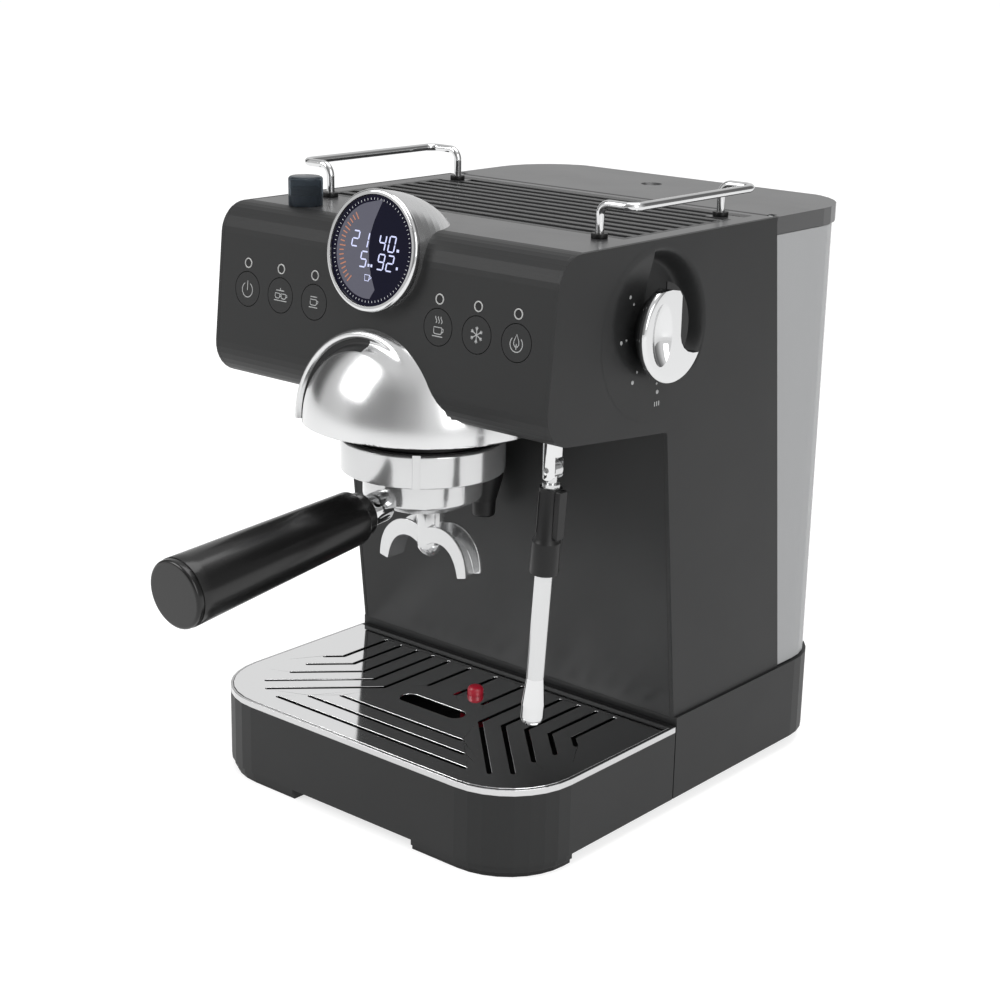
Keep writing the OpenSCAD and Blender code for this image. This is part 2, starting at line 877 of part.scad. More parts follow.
module wand_tube() {
    color("#dcdddf")
    on_wand() {
        rotate([90, 0, 0]) cylinder(h = 2 * fork_half - 0.4, r = 4.4, center = true);
        rotate([90, 0, 0]) cylinder(h = 2 * wand_hole_r - 0.6, r = 1.5, center = true);
        cylinder(h = 9, r = fork_half - 0.4);
        translate([0, 0, 7.5]) cylinder(h = wand_reach - 7.5 - 27, d = wand_d);
    }
}

module wand_grip() {
    color("#18191a")
    on_wand() translate([0, 0, 7.6]) difference() {
        rotate_extrude() polygon(rounded([
            [0, 0, 0], [6, 0, 1], [6.3, 22, 0], [7.2, 24, 0], [7.2, 47, 0.8], [0, 47, 0]
        ]));
        translate([0, 0, -1]) cylinder(h = 60, d = wand_d);
    }
}

module wand_tip() {
    color("#dcdddf")
    on_wand() translate([0, 0, wand_reach - 27]) difference() {
        rotate_extrude() polygon(rounded([
            [0, 0, 0], [wand_d / 2, 0, 0], [wand_d / 2 + 1.5, 15, 8], [wand_d / 2 + 1.5, 27, 5.4], [0, 27, 0]
        ]));
        translate([0, 0, 20]) cylinder(h = 10, r = 0.8, $fn = 24);
    }
}

// ---- Drip tray ----

module tray_shell() {
    color("#2f3234")
    difference() {
        union() {
            plan(base_low_z, plate_z - trim_h) tray_plan(0, tray_rear_y);
            plan(plate_z - trim_h, plate_z - plate_t) tray_plan(trim_t, tray_rear_y);
            translate([-body_w / 2 + trim_t, tray_rear_y - rear_rim, plate_z - trim_h])
                cube([body_w - 2 * trim_t, rear_rim, trim_h]);
        }
        plan(tray_floor_z + wall, plate_z + 1) tray_plan(6, tray_rear_y - rear_rim);
        plan(tray_floor_z + wall, plate_z - 12) tray_plan(wall, tray_rear_y - wall);
        plan(base_low_z - 1, tray_floor_z) tray_plan(wall, tray_rear_y + 1);
    }
    color("#2f3234")
        translate([float_x, float_y, tray_floor_z + wall]) cylinder(h = 20, r = 2);
}

module tray_trim() {
    color("#c9cacb")
    difference() {
        plan(plate_z - trim_h, plate_z - 0.2) tray_plan(0, tray_rear_y);
        plan(plate_z - trim_h - 1, plate_z + 1) tray_plan(trim_t, tray_rear_y + 1);
    }
}

// A drain slot from a to b, with round ends
module slot(a, b) {
    d = b - a;
    translate(a) rotate([0, 0, atan2(d[1], d[0])]) {
        translate([0, -slot_w / 2]) square([norm(d), slot_w]);
        circle(d = slot_w, $fn = 24);
        translate([norm(d), 0]) circle(d = slot_w, $fn = 24);
    }
}

slot_rear_y = -17;
elbow_first = [36.5, -72];
elbow_step = [slot_pitch, 4.6];
leg_len = [67, 62, 42, 27, 11];
middle_slots = [-20, 0.5, 21];
long_slot_y = -98;
long_slot_half = 45;

module drip_slots() {
    for (side = [-1, 1], i = [0:4]) {
        x = side * (elbow_first[0] + i * elbow_step[0]);
        y = elbow_first[1] + i * elbow_step[1];
        leg = leg_len[i] / sqrt(2);
        slot([x, slot_rear_y], [x, y]);
        slot([x, y], [x + side * leg, y - leg]);
    }
    for (x = middle_slots) slot([x, slot_rear_y], [x, -52]);
    for (i = [0:2])
        slot([-long_slot_half - i * slot_pitch, long_slot_y - i * slot_pitch],
             [long_slot_half + i * slot_pitch, long_slot_y - i * slot_pitch]);
    translate([2, -73.5]) slot_window();
}

module slot_window() {
    translate([-17, -6]) square([34, 12]);
    for (side = [-1, 1]) translate([side * 17, 0]) circle(r = 6);
}

module drip_plate() {
    color("#b4b7b9")
    difference() {
        plan(plate_z - plate_t, plate_z) tray_plan(trim_t + seam, tray_rear_y - rear_rim - seam);
        plan(plate_z - 5, plate_z + 5) drip_slots();
        translate([float_x, float_y, plate_z - 5]) cylinder(h = 10, r = 5);
    }
}

module tray_float() {
    color("#a5142a")
    translate([float_x, float_y, 0]) difference() {
        union() {
            translate([0, 0, plate_z - 18]) cylinder(h = 12, r = 9);
            translate([0, 0, plate_z - 6]) rotate_extrude()
                polygon(rounded([[0, 0, 0], [4.5, 0, 0], [4.5, 11, 1], [0, 11, 0]]));
        }
        translate([0, 0, plate_z - 19]) cylinder(h = 16, r = 2.2);
    }
}

// ---- Water tank ----

module tank_plan(in) {
    polygon(rounded([
        [-tank_w / 2 + in, 40, 0],
        [tank_w / 2 - in, 40, 0],
        [tank_w / 2 - in, base_rear_y - 1 - in, plan_radius - 1 - in],
        [-tank_w / 2 + in, base_rear_y - 1 - in, plan_radius - 1 - in]
    ]));
}

// Side outline of the tank: its front leans with the column's rear
module tank_side(in, z0, z1) {
    polygon([
        [seam_y(z0) + seam + in, z0],
        [base_rear_y - in, z0],
        [base_rear_y - 4.5 - in, z1],
        [seam_y(z1) + seam + in, z1]
    ]);
}

ear_x = tank_w / 2 - 6;
ear_t = 3;
module tank() {
    color("#8f9496", 0.45) {
        difference() {
            intersection() {
                plan(tank_low_z, tank_high_z) tank_plan(0);
                across(-tank_w / 2, tank_w / 2) tank_side(0, tank_low_z, tank_high_z);
            }
            intersection() {
                plan(tank_low_z + tank_wall, tank_high_z + 1) tank_plan(tank_wall);
                across(-tank_w / 2, tank_w / 2) tank_side(tank_wall, tank_low_z - 1, tank_high_z + 1);
            }
            translate([tank_valve_x, tank_valve_y, tank_low_z - 5]) cylinder(h = 20, r = 9.2);
        }
        for (side = [-1, 1]) translate([side * ear_x, 0, 0]) difference() {
            union() {
                translate([0, hinge_y, hinge_z]) rotate([0, 90, 0]) cylinder(h = ear_t, r = 2.6, center = true);
                translate([-ear_t / 2, hinge_y - 2.2, tank_high_z - 3]) cube([ear_t, 4.8, hinge_z - tank_high_z + 3]);
            }
            translate([0, hinge_y, hinge_z]) rotate([0, 90, 0])
                cylinder(h = 10, r = hinge_r + running_gap, center = true);
        }
    }
}

module tank_valve() {
    color("#1c1d1e")
    translate([tank_valve_x, tank_valve_y, 0]) {
        translate([0, 0, base_z - 4]) cylinder(h = tank_low_z + tank_wall - base_z + 4, r = 9);
        translate([0, 0, tank_low_z + tank_wall]) rotate_extrude()
            polygon(rounded([[0, 0, 0], [12, 0, 0], [12, 24, 9], [0, 24, 0]]));
    }
}

module lid_plan(in) {
    polygon(rounded([
        [-tank_w / 2 + in, 40, 0],
        [tank_w / 2 - in, 40, 0],
        [tank_w / 2 - in, tank_reach - in, plan_radius + 3 - in],
        [-tank_w / 2 + in, tank_reach - in, plan_radius + 3 - in]
    ]));
}

module tank_lid() {
    color("#5c6063")
    union() {
        difference() {
            intersection() {
                plan(lid_low_z, top_z) lid_plan(0);
                across(-tank_w / 2, tank_w / 2) polygon(rounded([
                    [hinge_y - 2.9 + seam, lid_low_z, 2],
                    [tank_reach, lid_low_z, 0],
                    [tank_reach, top_z, 2.5],
                    [hinge_y - 2.9, top_z, 2.9]
                ]));
            }
            intersection() {
                plan(lid_low_z - 1, top_z - wall) lid_plan(wall + 5);
                across(-tank_w / 2 + 12, tank_w / 2 - 12) translate([hinge_y + 3, lid_low_z - 1])
                    square([tank_reach, top_z - wall - lid_low_z + 1]);
            }
            for (side = [-1, 1])
                translate([side * ear_x - ear_t / 2 - 0.5, hinge_y - 4, lid_low_z - 1]) cube([ear_t + 1, 7.4, 20]);
            translate([-6, 126, top_z + 4.6]) sphere(r = 8);
        }
        for (side = [-1, 1]) translate([side * ear_x, hinge_y, hinge_z]) rotate([0, 90, 0])
            cylinder(h = ear_t + 2, r = hinge_r, center = true);
    }
}

// ---- Portafilter ----

module filter_holder() {
    color("#dedfe0")
    on_group(bowl_low_z) difference() {
        union() {
            rotate_extrude() polygon(rounded([
                [0, 0, 0], [22, 0, 3], [bowl_r, 5.6, 2], [bowl_r, bowl_top_z - bowl_low_z, 0],
                [0, bowl_top_z - bowl_low_z, 0]
            ]));
            for (side = [0, 180]) rotate([0, 0, side]) translate([0, 0, lock_low_z + lip_h + 0.3 - bowl_low_z])
                sector(lug_r, lug_half_angle, bowl_top_z - lock_low_z - lip_h - 0.3);
        }
        translate([0, 0, 4.4]) cylinder(h = 60, r = bowl_r - 3);
        translate([0, spout_back, -1]) cylinder(h = 10, r = 4);
    }
}

module filter_basket() {
    color("#c4c6c8")
    on_group(bowl_top_z) difference() {
        union() {
            translate([0, 0, -20]) cylinder(h = 20, r = bowl_r - 3.4);
            cylinder(h = 1, r = bowl_r + 2);
        }
        translate([0, 0, -19.2]) cylinder(h = 40, r = bowl_r - 4.2);
    }
}

spout_r = 7.75;
arm_r = 6.6;
arm_bend = 24;
arm_start = 5;
module spout() {
    color("#d8d9da")
    translate([0, group_y + spout_back, bowl_low_z]) {
        translate([0, 0, -24]) cylinder(h = 24, r = spout_r);
        for (side = [0, 1]) mirror([side, 0, 0]) intersection() {
            difference() {
                translate([arm_start, 0, -14 - arm_bend]) rotate([90, 0, 0])
                    rotate_extrude(angle = 90) translate([arm_bend, 0]) circle(r = arm_r, $fn = 48);
                translate([arm_start, 0, -14 - arm_bend]) rotate([90, 0, 0])
                    rotate_extrude(angle = 68) translate([arm_bend, 0]) spout_channel();
            }
            translate([0, -50, -60]) cube([100, 100, 60]);
        }
    }
}

// The open channel along the outside of an arm
module spout_channel() {
    circle(r = arm_r - 1.4, $fn = 48);
    translate([0, -3.6]) square([20, 7.2]);
}

module handle_neck() {
    color("#d8d9da")
    difference() {
        on_handle() {
            translate([0, 0, neck_start]) cylinder(h = grip_start - neck_start, r = 8.5);
            translate([0, 0, grip_start]) cylinder(h = 20, r = 5);
        }
        on_group(bowl_low_z - 10) cylinder(h = 60, r = bowl_r);
    }
}

module handle_grip() {
    color("#0e0f10")
    on_handle() translate([0, 0, grip_start]) difference() {
        rotate_extrude() polygon(rounded([
            [0, 0, 0], [12, 0, 1.5], [12, 7, 0.5], [grip_neck_r, 7.5, 1.5],
            [grip_r, grip_len, 0], [0, grip_len, 0]
        ]));
        translate([0, 0, -1]) cylinder(h = 21, r = 5);
    }
}

module handle_cap() {
    color("#1a1b1c")
    on_handle() translate([0, 0, grip_start + grip_len]) rotate_extrude()
        polygon(rounded([[0, 0, 0], [grip_r - 0.3, 0, 0], [grip_r - 0.3, 4, 1.6], [0, 4, 0]]));
}

in_frame() base_pan();
in_frame() feet();
in_frame() base_shell();
in_frame() side_panel_left();
in_frame() side_panel_right();
in_frame() front_panel();
in_frame() splash_panel();
in_frame() top_cover();
in_frame() cup_tray();
in_frame() rear_wall();
in_frame() cup_rails();
in_frame() rail_grommets();
in_frame() vent_cap();
in_frame() vent_stem();
in_frame() display_dome();
in_frame() display_drum();
in_frame() display_ring();
in_frame() display_glass();
in_frame() button_power();
in_frame() button_two_cups();
in_frame() button_one_cup();
in_frame() button_hot_water();
in_frame() button_cold();
in_frame() button_steam();
in_frame() button_board();
in_frame() indicator_rings();
in_frame() group_hood();
in_frame() group_head();
in_frame() lock_ring();
in_frame() group_gasket();
in_frame() shower_screen();
in_frame() boiler();
in_frame() solenoid_valve();
in_frame() pump();
in_frame() pump_mounts();
in_frame() water_hoses();
in_frame() steam_valve();
in_frame() control_board();
in_frame() power_inlet();
in_frame() drain_nozzle();
in_frame() knob_shaft();
in_frame() steam_knob();
in_frame() knob_insert();
in_frame() wand_knuckle();
in_frame() wand_tube();
in_frame() wand_tip();
in_frame() wand_grip();
in_frame() tray_shell();
in_frame() tray_trim();
in_frame() drip_plate();
in_frame() tray_float();
in_frame() tank();
in_frame() tank_valve();
in_frame() tank_lid();
in_frame() filter_holder();
in_frame() filter_basket();
in_frame() spout();
in_frame() handle_neck();
in_frame() handle_grip();
in_frame() handle_cap();
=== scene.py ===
import math

import bmesh
import bpy
from mathutils import Matrix, Vector

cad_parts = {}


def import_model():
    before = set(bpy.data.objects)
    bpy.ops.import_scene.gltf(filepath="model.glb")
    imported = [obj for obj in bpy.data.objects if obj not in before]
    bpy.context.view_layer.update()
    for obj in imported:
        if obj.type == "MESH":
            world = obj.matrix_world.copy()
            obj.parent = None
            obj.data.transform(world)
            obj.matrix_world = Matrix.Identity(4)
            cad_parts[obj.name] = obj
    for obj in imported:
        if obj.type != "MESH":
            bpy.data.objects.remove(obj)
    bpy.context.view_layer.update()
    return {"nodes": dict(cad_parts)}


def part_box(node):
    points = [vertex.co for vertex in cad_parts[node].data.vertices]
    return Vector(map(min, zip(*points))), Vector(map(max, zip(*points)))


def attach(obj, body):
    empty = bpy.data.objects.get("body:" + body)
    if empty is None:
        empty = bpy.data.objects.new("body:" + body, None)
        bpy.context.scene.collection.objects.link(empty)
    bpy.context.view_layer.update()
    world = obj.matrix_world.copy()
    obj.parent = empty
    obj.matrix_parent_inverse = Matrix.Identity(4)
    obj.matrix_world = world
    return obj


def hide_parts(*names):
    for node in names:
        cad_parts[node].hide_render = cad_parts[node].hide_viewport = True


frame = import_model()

# Lengths below are millimetres in the machine's own frame: x = 0 in the middle, y = 0 at the foot of
# the column, z = 0 on the ground. SHIFT takes them to the row frame, and MM to metres.
MM = 0.001
TRAY_CORNER = Vector((-120.0, -139.0, 7.0))
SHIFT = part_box("tray_shell")[0] / MM - TRAY_CORNER


# ---- Places ----

def at(x, y, z, rx=0.0, ry=0.0, rz=0.0):
    """A local frame in millimetres: moved to a point, turned about X, then Y, then Z (degrees)."""
    turn = Matrix.Identity(4)
    for angle, axis in ((rx, "X"), (ry, "Y"), (rz, "Z")):
        turn = Matrix.Rotation(math.radians(angle), 4, axis) @ turn
    return Matrix.Scale(MM, 4) @ Matrix.Translation(SHIFT + Vector((x, y, z))) @ turn


TOP_Z = 325.3
RAKE_DEG = 5.5
RAKE = math.tan(math.radians(RAKE_DEG))
CHIN_Y, CHIN_Z = -124.2, 232.4      # where the panel and the head's underside would meet


def panel_y(z):
    """The control panel's Y at a height."""
    return CHIN_Y + RAKE * (z - CHIN_Z)


def under_z(y):
    """The height of the head's underside at a Y."""
    return CHIN_Z - RAKE * (y - CHIN_Y)


def on_panel(x, z):
    return at(x, panel_y(z), z, rx=90 - RAKE_DEG)


def on_display():
    return at(0, -120.9, 314.5, rx=80)


GROUP_Y = -81.2
WAND_X, WAND_Y, WAND_Z = 104.5, -100, 216
WAND_LEAN_DEG = 3.7


def on_wand():
    """The wand's frame: its Z runs down the tube from the pivot."""
    return at(WAND_X, WAND_Y, WAND_Z, ry=180 + WAND_LEAN_DEG)


# ---- Meshes ----

def piece(name, verts, faces, place, body, finish, slot=None, angle=35):
    """A shaded mesh that rides on a body. Its points are given in the local frame place."""
    mesh = bpy.data.meshes.new(name)
    mesh.from_pydata([place @ Vector(v) for v in verts], [], faces)
    mesh.validate()
    mesh.update()
    obj = bpy.data.objects.new(name, mesh)
    bpy.context.scene.collection.objects.link(obj)
    mesh.materials.append(finish)
    for polygon in mesh.polygons:
        polygon.use_smooth = True
    mesh.set_sharp_from_angle(angle=math.radians(angle))
    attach(obj, body)
    return obj


def rounded(corners, steps=6):
    """Points of an outline whose corners (a, b, radius) are rounded off."""
    out = []
    n = len(corners)
    for i, (a, b, radius) in enumerate(corners):
        here = Vector((a, b))
        if radius <= 0:
            out.append((a, b))
            continue
        before = Vector(corners[i - 1][:2]) - here
        after = Vector(corners[(i + 1) % n][:2]) - here
        half = before.angle(after) / 2
        reach = min(radius / math.tan(half), 0.49 * before.length, 0.49 * after.length)
        radius = reach * math.tan(half)
        middle = here + (before.normalized() + after.normalized()).normalized() * radius / math.sin(half)
        start = here + before.normalized() * reach - middle
        end = here + after.normalized() * reach - middle
        sweep = start.angle_signed(end)
        for k in range(steps + 1):
            c, s = math.cos(-sweep * k / steps), math.sin(-sweep * k / steps)
            out.append((middle.x + c * start.x - s * start.y, middle.y + s * start.x + c * start.y))
    return out


def lathe(name, profile, place, body, finish, slot=None, seg=96, angle=35):
    """Turns a profile of (radius, height) points round the local Z axis."""
    verts, rings = [], []
    for r, h in profile:
        if r < 1e-6:
            rings.append([len(verts)])
            verts.append((0, 0, h))
        else:
            rings.append(list(range(len(verts), len(verts) + seg)))
            verts += [(r * math.cos(2 * math.pi * k / seg), r * math.sin(2 * math.pi * k / seg), h)
                      for k in range(seg)]
    faces = []
    for low, high in zip(rings, rings[1:]):
        for k in range(seg):
            m = (k + 1) % seg
            if len(low) > 1 and len(high) > 1:
                faces.append((low[k], low[m], high[m], high[k]))
            elif len(high) > 1:
                faces.append((low[0], high[m], high[k]))
            elif len(low) > 1:
                faces.append((low[k], low[m], high[0]))
    return piece(name, verts, faces, place, body, finish, slot, angle)


def smooth_path(points, per=8):
    """A Catmull-Rom curve through the points."""
    pts = [Vector(p) for p in points]
    pts = [2 * pts[0] - pts[1]] + pts + [2 * pts[-1] - pts[-2]]
    out = []
    for a, b, c, d in zip(pts, pts[1:], pts[2:], pts[3:]):
        for k in range(per):
            t = k / per
            out.append(0.5 * ((2 * b) + (c - a) * t + (2 * a - 5 * b + 4 * c - d) * t * t
                              + (3 * b - a - 3 * c + d) * t ** 3))
    return out + [pts[-2]]


def sweep_mesh(points, radius, seg=12, flat=1.0, closed=False):
    """Vertices and faces of a round bar along a path; flat squeezes it along the local Z axis."""
    pts = [Vector(p) for p in points]
    n = len(pts)
    radii = radius if hasattr(radius, "__len__") else [radius] * n
    verts, faces = [], []
    side = None
    for i, p in enumerate(pts):
        if closed:
            along = (pts[(i + 1) % n] - pts[i - 1]).normalized()
        else:
            along = (pts[min(i + 1, n - 1)] - pts[max(i - 1, 0)]).normalized()
        if side is None:
            side = along.orthogonal().normalized()
        side = (side - along * side.dot(along)).normalized()
        other = along.cross(side)
        for k in range(seg):
            a = 2 * math.pi * k / seg
            off = radii[i] * (math.cos(a) * side + math.sin(a) * other)
            verts.append(p + Vector((off.x, off.y, off.z * flat)))
    for i in range(n if closed else n - 1):
        j = (i + 1) % n
        for k in range(seg):
            m = (k + 1) % seg
            faces.append((i * seg + k, i * seg + m, j * seg + m, j * seg + k))
    if not closed:
        faces.append(tuple(reversed(range(seg))))
        faces.append(tuple(range((n - 1) * seg, n * seg)))
    return verts, faces


def ease(t):
    """A smooth step from 0 to 1."""
    t = min(max(t, 0.0), 1.0)
    return t * t * (3 - 2 * t)


def join(parts):
    """Several (vertices, faces) pairs as one."""
    verts, faces = [], []
    for v, f in parts:
        faces += [tuple(i + len(verts) for i in face) for face in f]
        verts += list(v)
    return verts, faces


def prism(outline, z0, z1):
    """Vertices and faces of a flat outline given thickness."""
    n = len(outline)
    verts = [(a, b, z0) for a, b in outline] + [(a, b, z1) for a, b in outline]
    faces = [(k, (k + 1) % n, n + (k + 1) % n, n + k) for k in range(n)]
    return verts, faces + [tuple(reversed(range(n))), tuple(range(n, 2 * n))]


def arc(cx, cy, r, a0, a1, steps=24):
    """Points of a circle's arc from angle a0 to a1, in degrees."""
    return [(cx + r * math.cos(math.radians(a0 + (a1 - a0) * k / steps)),
             cy + r * math.sin(math.radians(a0 + (a1 - a0) * k / steps)), 0) for k in range(steps + 1)]


def soften(obj, width, segments=3, angle=38):
    """Rounds an object's real edges off by width millimetres."""
    weld = obj.modifiers.new("weld", "WELD")
    weld.merge_threshold = 1e-6
    bevel(obj, width, segments, angle)


def bevel(obj, width, segments, angle):
    """A small rounding along the edges that are sharper than angle degrees."""
    edge = obj.modifiers.new("bevel", "BEVEL")
    edge.width = width * MM
    edge.segments = segments
    edge.limit_method = "ANGLE"
    edge.angle_limit = math.radians(angle)
    edge.harden_normals = True


def even_normals(mesh, weld=False):
    """Turns all faces outward, after welding points that coincide if asked."""
    level = bmesh.new()
    level.from_mesh(mesh)
    if weld:
        bmesh.ops.remove_doubles(level, verts=level.verts, dist=1e-6)
    bmesh.ops.recalc_face_normals(level, faces=level.faces)
    level.to_mesh(mesh)
    level.free()


# ---- Finishes ----

def material(name, colour, rough, metal=0.0, coat=0.0, grain=0.0, grain_size=400.0, wear=0.0,
             stretch=(1, 1, 1), **sockets):
    """A Principled finish with a fine procedural grain (bump) and uneven gloss (wear)."""
    mat = bpy.data.materials.new(name)
    mat.use_nodes = True
    tree = mat.node_tree
    shader = tree.nodes["Principled BSDF"]
    shader.inputs["Base Color"].default_value = (*colour, 1)
    shader.inputs["Roughness"].default_value = rough
    shader.inputs["Metallic"].default_value = metal
    shader.inputs["Coat Weight"].default_value = coat
    for key, value in sockets.items():
        shader.inputs[key.replace("_", " ")].default_value = value
    where = tree.nodes.new("ShaderNodeTexCoord")
    scale = tree.nodes.new("ShaderNodeMapping")
    scale.inputs["Scale"].default_value = stretch
    tree.links.new(where.outputs["Object"], scale.inputs["Vector"])
    if grain:
        noise = tree.nodes.new("ShaderNodeTexNoise")
        noise.inputs["Scale"].default_value = grain_size
        noise.inputs["Detail"].default_value = 3
        bump = tree.nodes.new("ShaderNodeBump")
        bump.inputs["Strength"].default_value = grain
        bump.inputs["Distance"].default_value = 0.0004
        tree.links.new(scale.outputs["Vector"], noise.inputs["Vector"])
        tree.links.new(noise.outputs["Fac"], bump.inputs["Height"])
        tree.links.new(bump.outputs["Normal"], shader.inputs["Normal"])
    if wear:
        cloud = tree.nodes.new("ShaderNodeTexNoise")
        cloud.inputs["Scale"].default_value = 30
        cloud.inputs["Detail"].default_value = 4
        spread = tree.nodes.new("ShaderNodeMapRange")
        spread.inputs["To Min"].default_value = max(rough - wear, 0.0)
        spread.inputs["To Max"].default_value = rough + wear
        tree.links.new(scale.outputs["Vector"], cloud.inputs["Vector"])
        tree.links.new(cloud.outputs["Fac"], spread.inputs["Value"])
        tree.links.new(spread.outputs["Result"], shader.inputs["Roughness"])
    return mat


def glow(name, colour, strength):
    """A lit finish."""
    mat = material(name, (0.02, 0.02, 0.03), 0.3, wear=0.02)
    shader = mat.node_tree.nodes["Principled BSDF"]
    shader.inputs["Emission Color"].default_value = (*colour, 1)
    shader.inputs["Emission Strength"].default_value = strength
    return mat


def clear(name, colour, rough, amount):
    """A smoked plastic that lets part of the light through."""
    mat = material(name, colour, rough, wear=0.01)
    shader = mat.node_tree.nodes["Principled BSDF"]
    shader.inputs["Transmission Weight"].default_value = amount
    shader.inputs["IOR"].default_value = 1.1
    return mat


CASE = material("case_black", (0.0105, 0.0108, 0.011), 0.5, grain=0.10, grain_size=1500, wear=0.03,
                Specular_IOR_Level=0.3)
# A darker copy of the case black: painted shade for the base pan underneath, the splash panel under the head and
# the solenoid valve.
CASE_SHADED = material("case_shadow", (0.010, 0.0103, 0.0105), 0.5, grain=0.08, grain_size=1500, wear=0.03,
                     Specular_IOR_Level=0.3)
TOP_GREY = material("top_grey", (0.03, 0.03, 0.031), 0.3, grain=0.05, grain_size=1500, wear=0.03)
RIBBED = material("ribbed_grey", (0.012, 0.0123, 0.0125), 0.42, grain=0.08, grain_size=1500, wear=0.04)
CHROME = material("chrome", (0.62, 0.623, 0.626), 0.06, metal=1.0, wear=0.012)
SHEEN = material("soft_chrome", (0.62, 0.623, 0.626), 0.2, metal=0.95, wear=0.02)
STEEL = material("polished_steel", (0.56, 0.563, 0.566), 0.15, metal=0.8, wear=0.02)
SATIN = material("satin_steel", (0.55, 0.55, 0.553), 0.2, metal=1.0, wear=0.04)
PLATE = material("plate_mirror", (0.9, 0.903, 0.906), 0.07, metal=1.0, wear=0.015)
HANDLE = material("handle_gloss", (0.004, 0.004, 0.004), 0.25, coat=0.15, wear=0.04, Coat_Roughness=0.12,
                  Specular_IOR_Level=0.3)
SOFT = material("soft_black", (0.004, 0.004, 0.0042), 0.42, grain=0.1, grain_size=900, wear=0.04,
                Specular_IOR_Level=0.3)
GLASS = material("display_glass", (0.0022, 0.0022, 0.011), 0.12, wear=0.02, Specular_IOR_Level=0.12)
GLARE = material("display_glare", (0.085, 0.085, 0.11), 0.2, wear=0.03, Specular_IOR_Level=0.2)
DIGIT = glow("digit_white", (0.66, 0.70, 1.0), 1.1)
ORANGE = glow("gauge_orange", (0.75, 0.27, 0.12), 0.6)
TICK = material("tick_grey", (0.5, 0.51, 0.53), 0.5, wear=0.03)
PRINT = material("print_grey", (0.3, 0.305, 0.305), 0.5, wear=0.03)
LAMP = material("lamp_white", (0.34, 0.34, 0.335), 0.4, wear=0.03)
FLOAT = material("float_red", (0.32, 0.006, 0.02), 0.35, wear=0.04)
SMOKE = clear("smoke_tank", (0.40, 0.405, 0.41), 0.14, 0.3)
CAP = clear("smoke_cap", (0.10, 0.12, 0.14), 0.06, 0.8)
BLUE = material("stem_blue", (0.006, 0.012, 0.03), 0.4, wear=0.04)
BRASS = material("brass", (0.55, 0.38, 0.13), 0.32, metal=1.0, wear=0.05)
CAST = material("cast_aluminium", (0.5, 0.5, 0.51), 0.45, metal=1.0, grain=0.15, grain_size=700, wear=0.05)
BOARD = material("board_green", (0.012, 0.09, 0.04), 0.4, wear=0.05)
HOSE = material("hose_cream", (0.6, 0.56, 0.46), 0.5, wear=0.05)
PUMP = material("pump_body", (0.35, 0.24, 0.1), 0.5, wear=0.05)

# CAD node: (finish, record slot, edge radius in mm)
DRESS = {
    "base_pan": (CASE_SHADED, "black_case", 0.5), "feet": (SOFT, "soft_black", 0.4),
    "base_shell": (CASE, "black_case", 0.6), "side_panel_left": (CASE, "black_case", 0.5),
    "side_panel_right": (CASE, "black_case", 0.5), "front_panel": (CASE, "black_case", 0.35),
    "splash_panel": (CASE_SHADED, "black_case", 0.3), "top_cover": (TOP_GREY, "grey_top", 0.4),
    "cup_tray": (RIBBED, "ribbed_grey", 0.3), "rear_wall": (CASE, "black_case", 0.4),
    "cup_rails": (CHROME, "chrome", 0), "rail_grommets": (SOFT, "soft_black", 0.3),
    "vent_cap": (CAP, "smoke_cap", 0.5), "vent_stem": (BLUE, "stem_blue", 0.4),
    "display_dome": (SHEEN, "chrome", 0), "display_drum": (HANDLE, "black_case", 0.3),
    "display_ring": (CHROME, "chrome", 0.2), "display_glass": (GLASS, "display_glass", 0.1),
    "button_power": (CASE, "black_case", 0.3), "button_two_cups": (CASE, "black_case", 0.3),
    "button_one_cup": (CASE, "black_case", 0.3), "button_hot_water": (CASE, "black_case", 0.3),
    "button_cold": (CASE, "black_case", 0.3), "button_steam": (CASE, "black_case", 0.3),
    "button_board": (BOARD, "board_green", 0.1), "indicator_rings": (LAMP, "lamp_white", 0.15),
    "group_hood": (CHROME, "chrome", 0), "group_head": (SOFT, "soft_black", 0.3),
    "lock_ring": (STEEL, "chrome", 0.25), "group_gasket": (SOFT, "soft_black", 0.3),
    "shower_screen": (SATIN, "inner_steel", 0.1), "boiler": (CAST, "cast_aluminium", 0.5),
    "solenoid_valve": (CASE_SHADED, "pump_body", 0.4), "pump": (PUMP, "pump_body", 0.5),
    "pump_mounts": (SOFT, "soft_black", 0.3), "water_hoses": (HOSE, "hose_cream", 0),
    "steam_valve": (BRASS, "brass", 0.3), "control_board": (BOARD, "board_green", 0.1),
    "power_inlet": (SOFT, "soft_black", 0.3), "drain_nozzle": (SOFT, "soft_black", 0.3),
    "knob_shaft": (SATIN, "trim_steel", 0.2), "steam_knob": (CHROME, "chrome", 0),
    "knob_insert": (SOFT, "soft_black", 0.3), "wand_knuckle": (CHROME, "chrome", 0.2),
    "wand_tube": (STEEL, "chrome", 0), "wand_tip": (CHROME, "chrome", 0),
    "wand_grip": (SOFT, "soft_black", 0.3), "tray_shell": (CASE, "black_case", 0.6),
    "tray_trim": (SATIN, "trim_steel", 0.3), "drip_plate": (PLATE, "plate_steel", 0.25),
    "tray_float": (FLOAT, "float_red", 0.3), "tank": (SMOKE, "smoke_tank", 0.4),
    "tank_valve": (SOFT, "soft_black", 0.3), "tank_lid": (TOP_GREY, "grey_top", 0.4),
    "filter_holder": (STEEL, "chrome", 0.25), "filter_basket": (SATIN, "inner_steel", 0.1),
    "spout": (CHROME, "chrome", 0.2), "handle_neck": (CHROME, "chrome", 0.2),
    "handle_grip": (HANDLE, "handle_black", 0.4), "handle_cap": (HANDLE, "handle_black", 0.8),
}


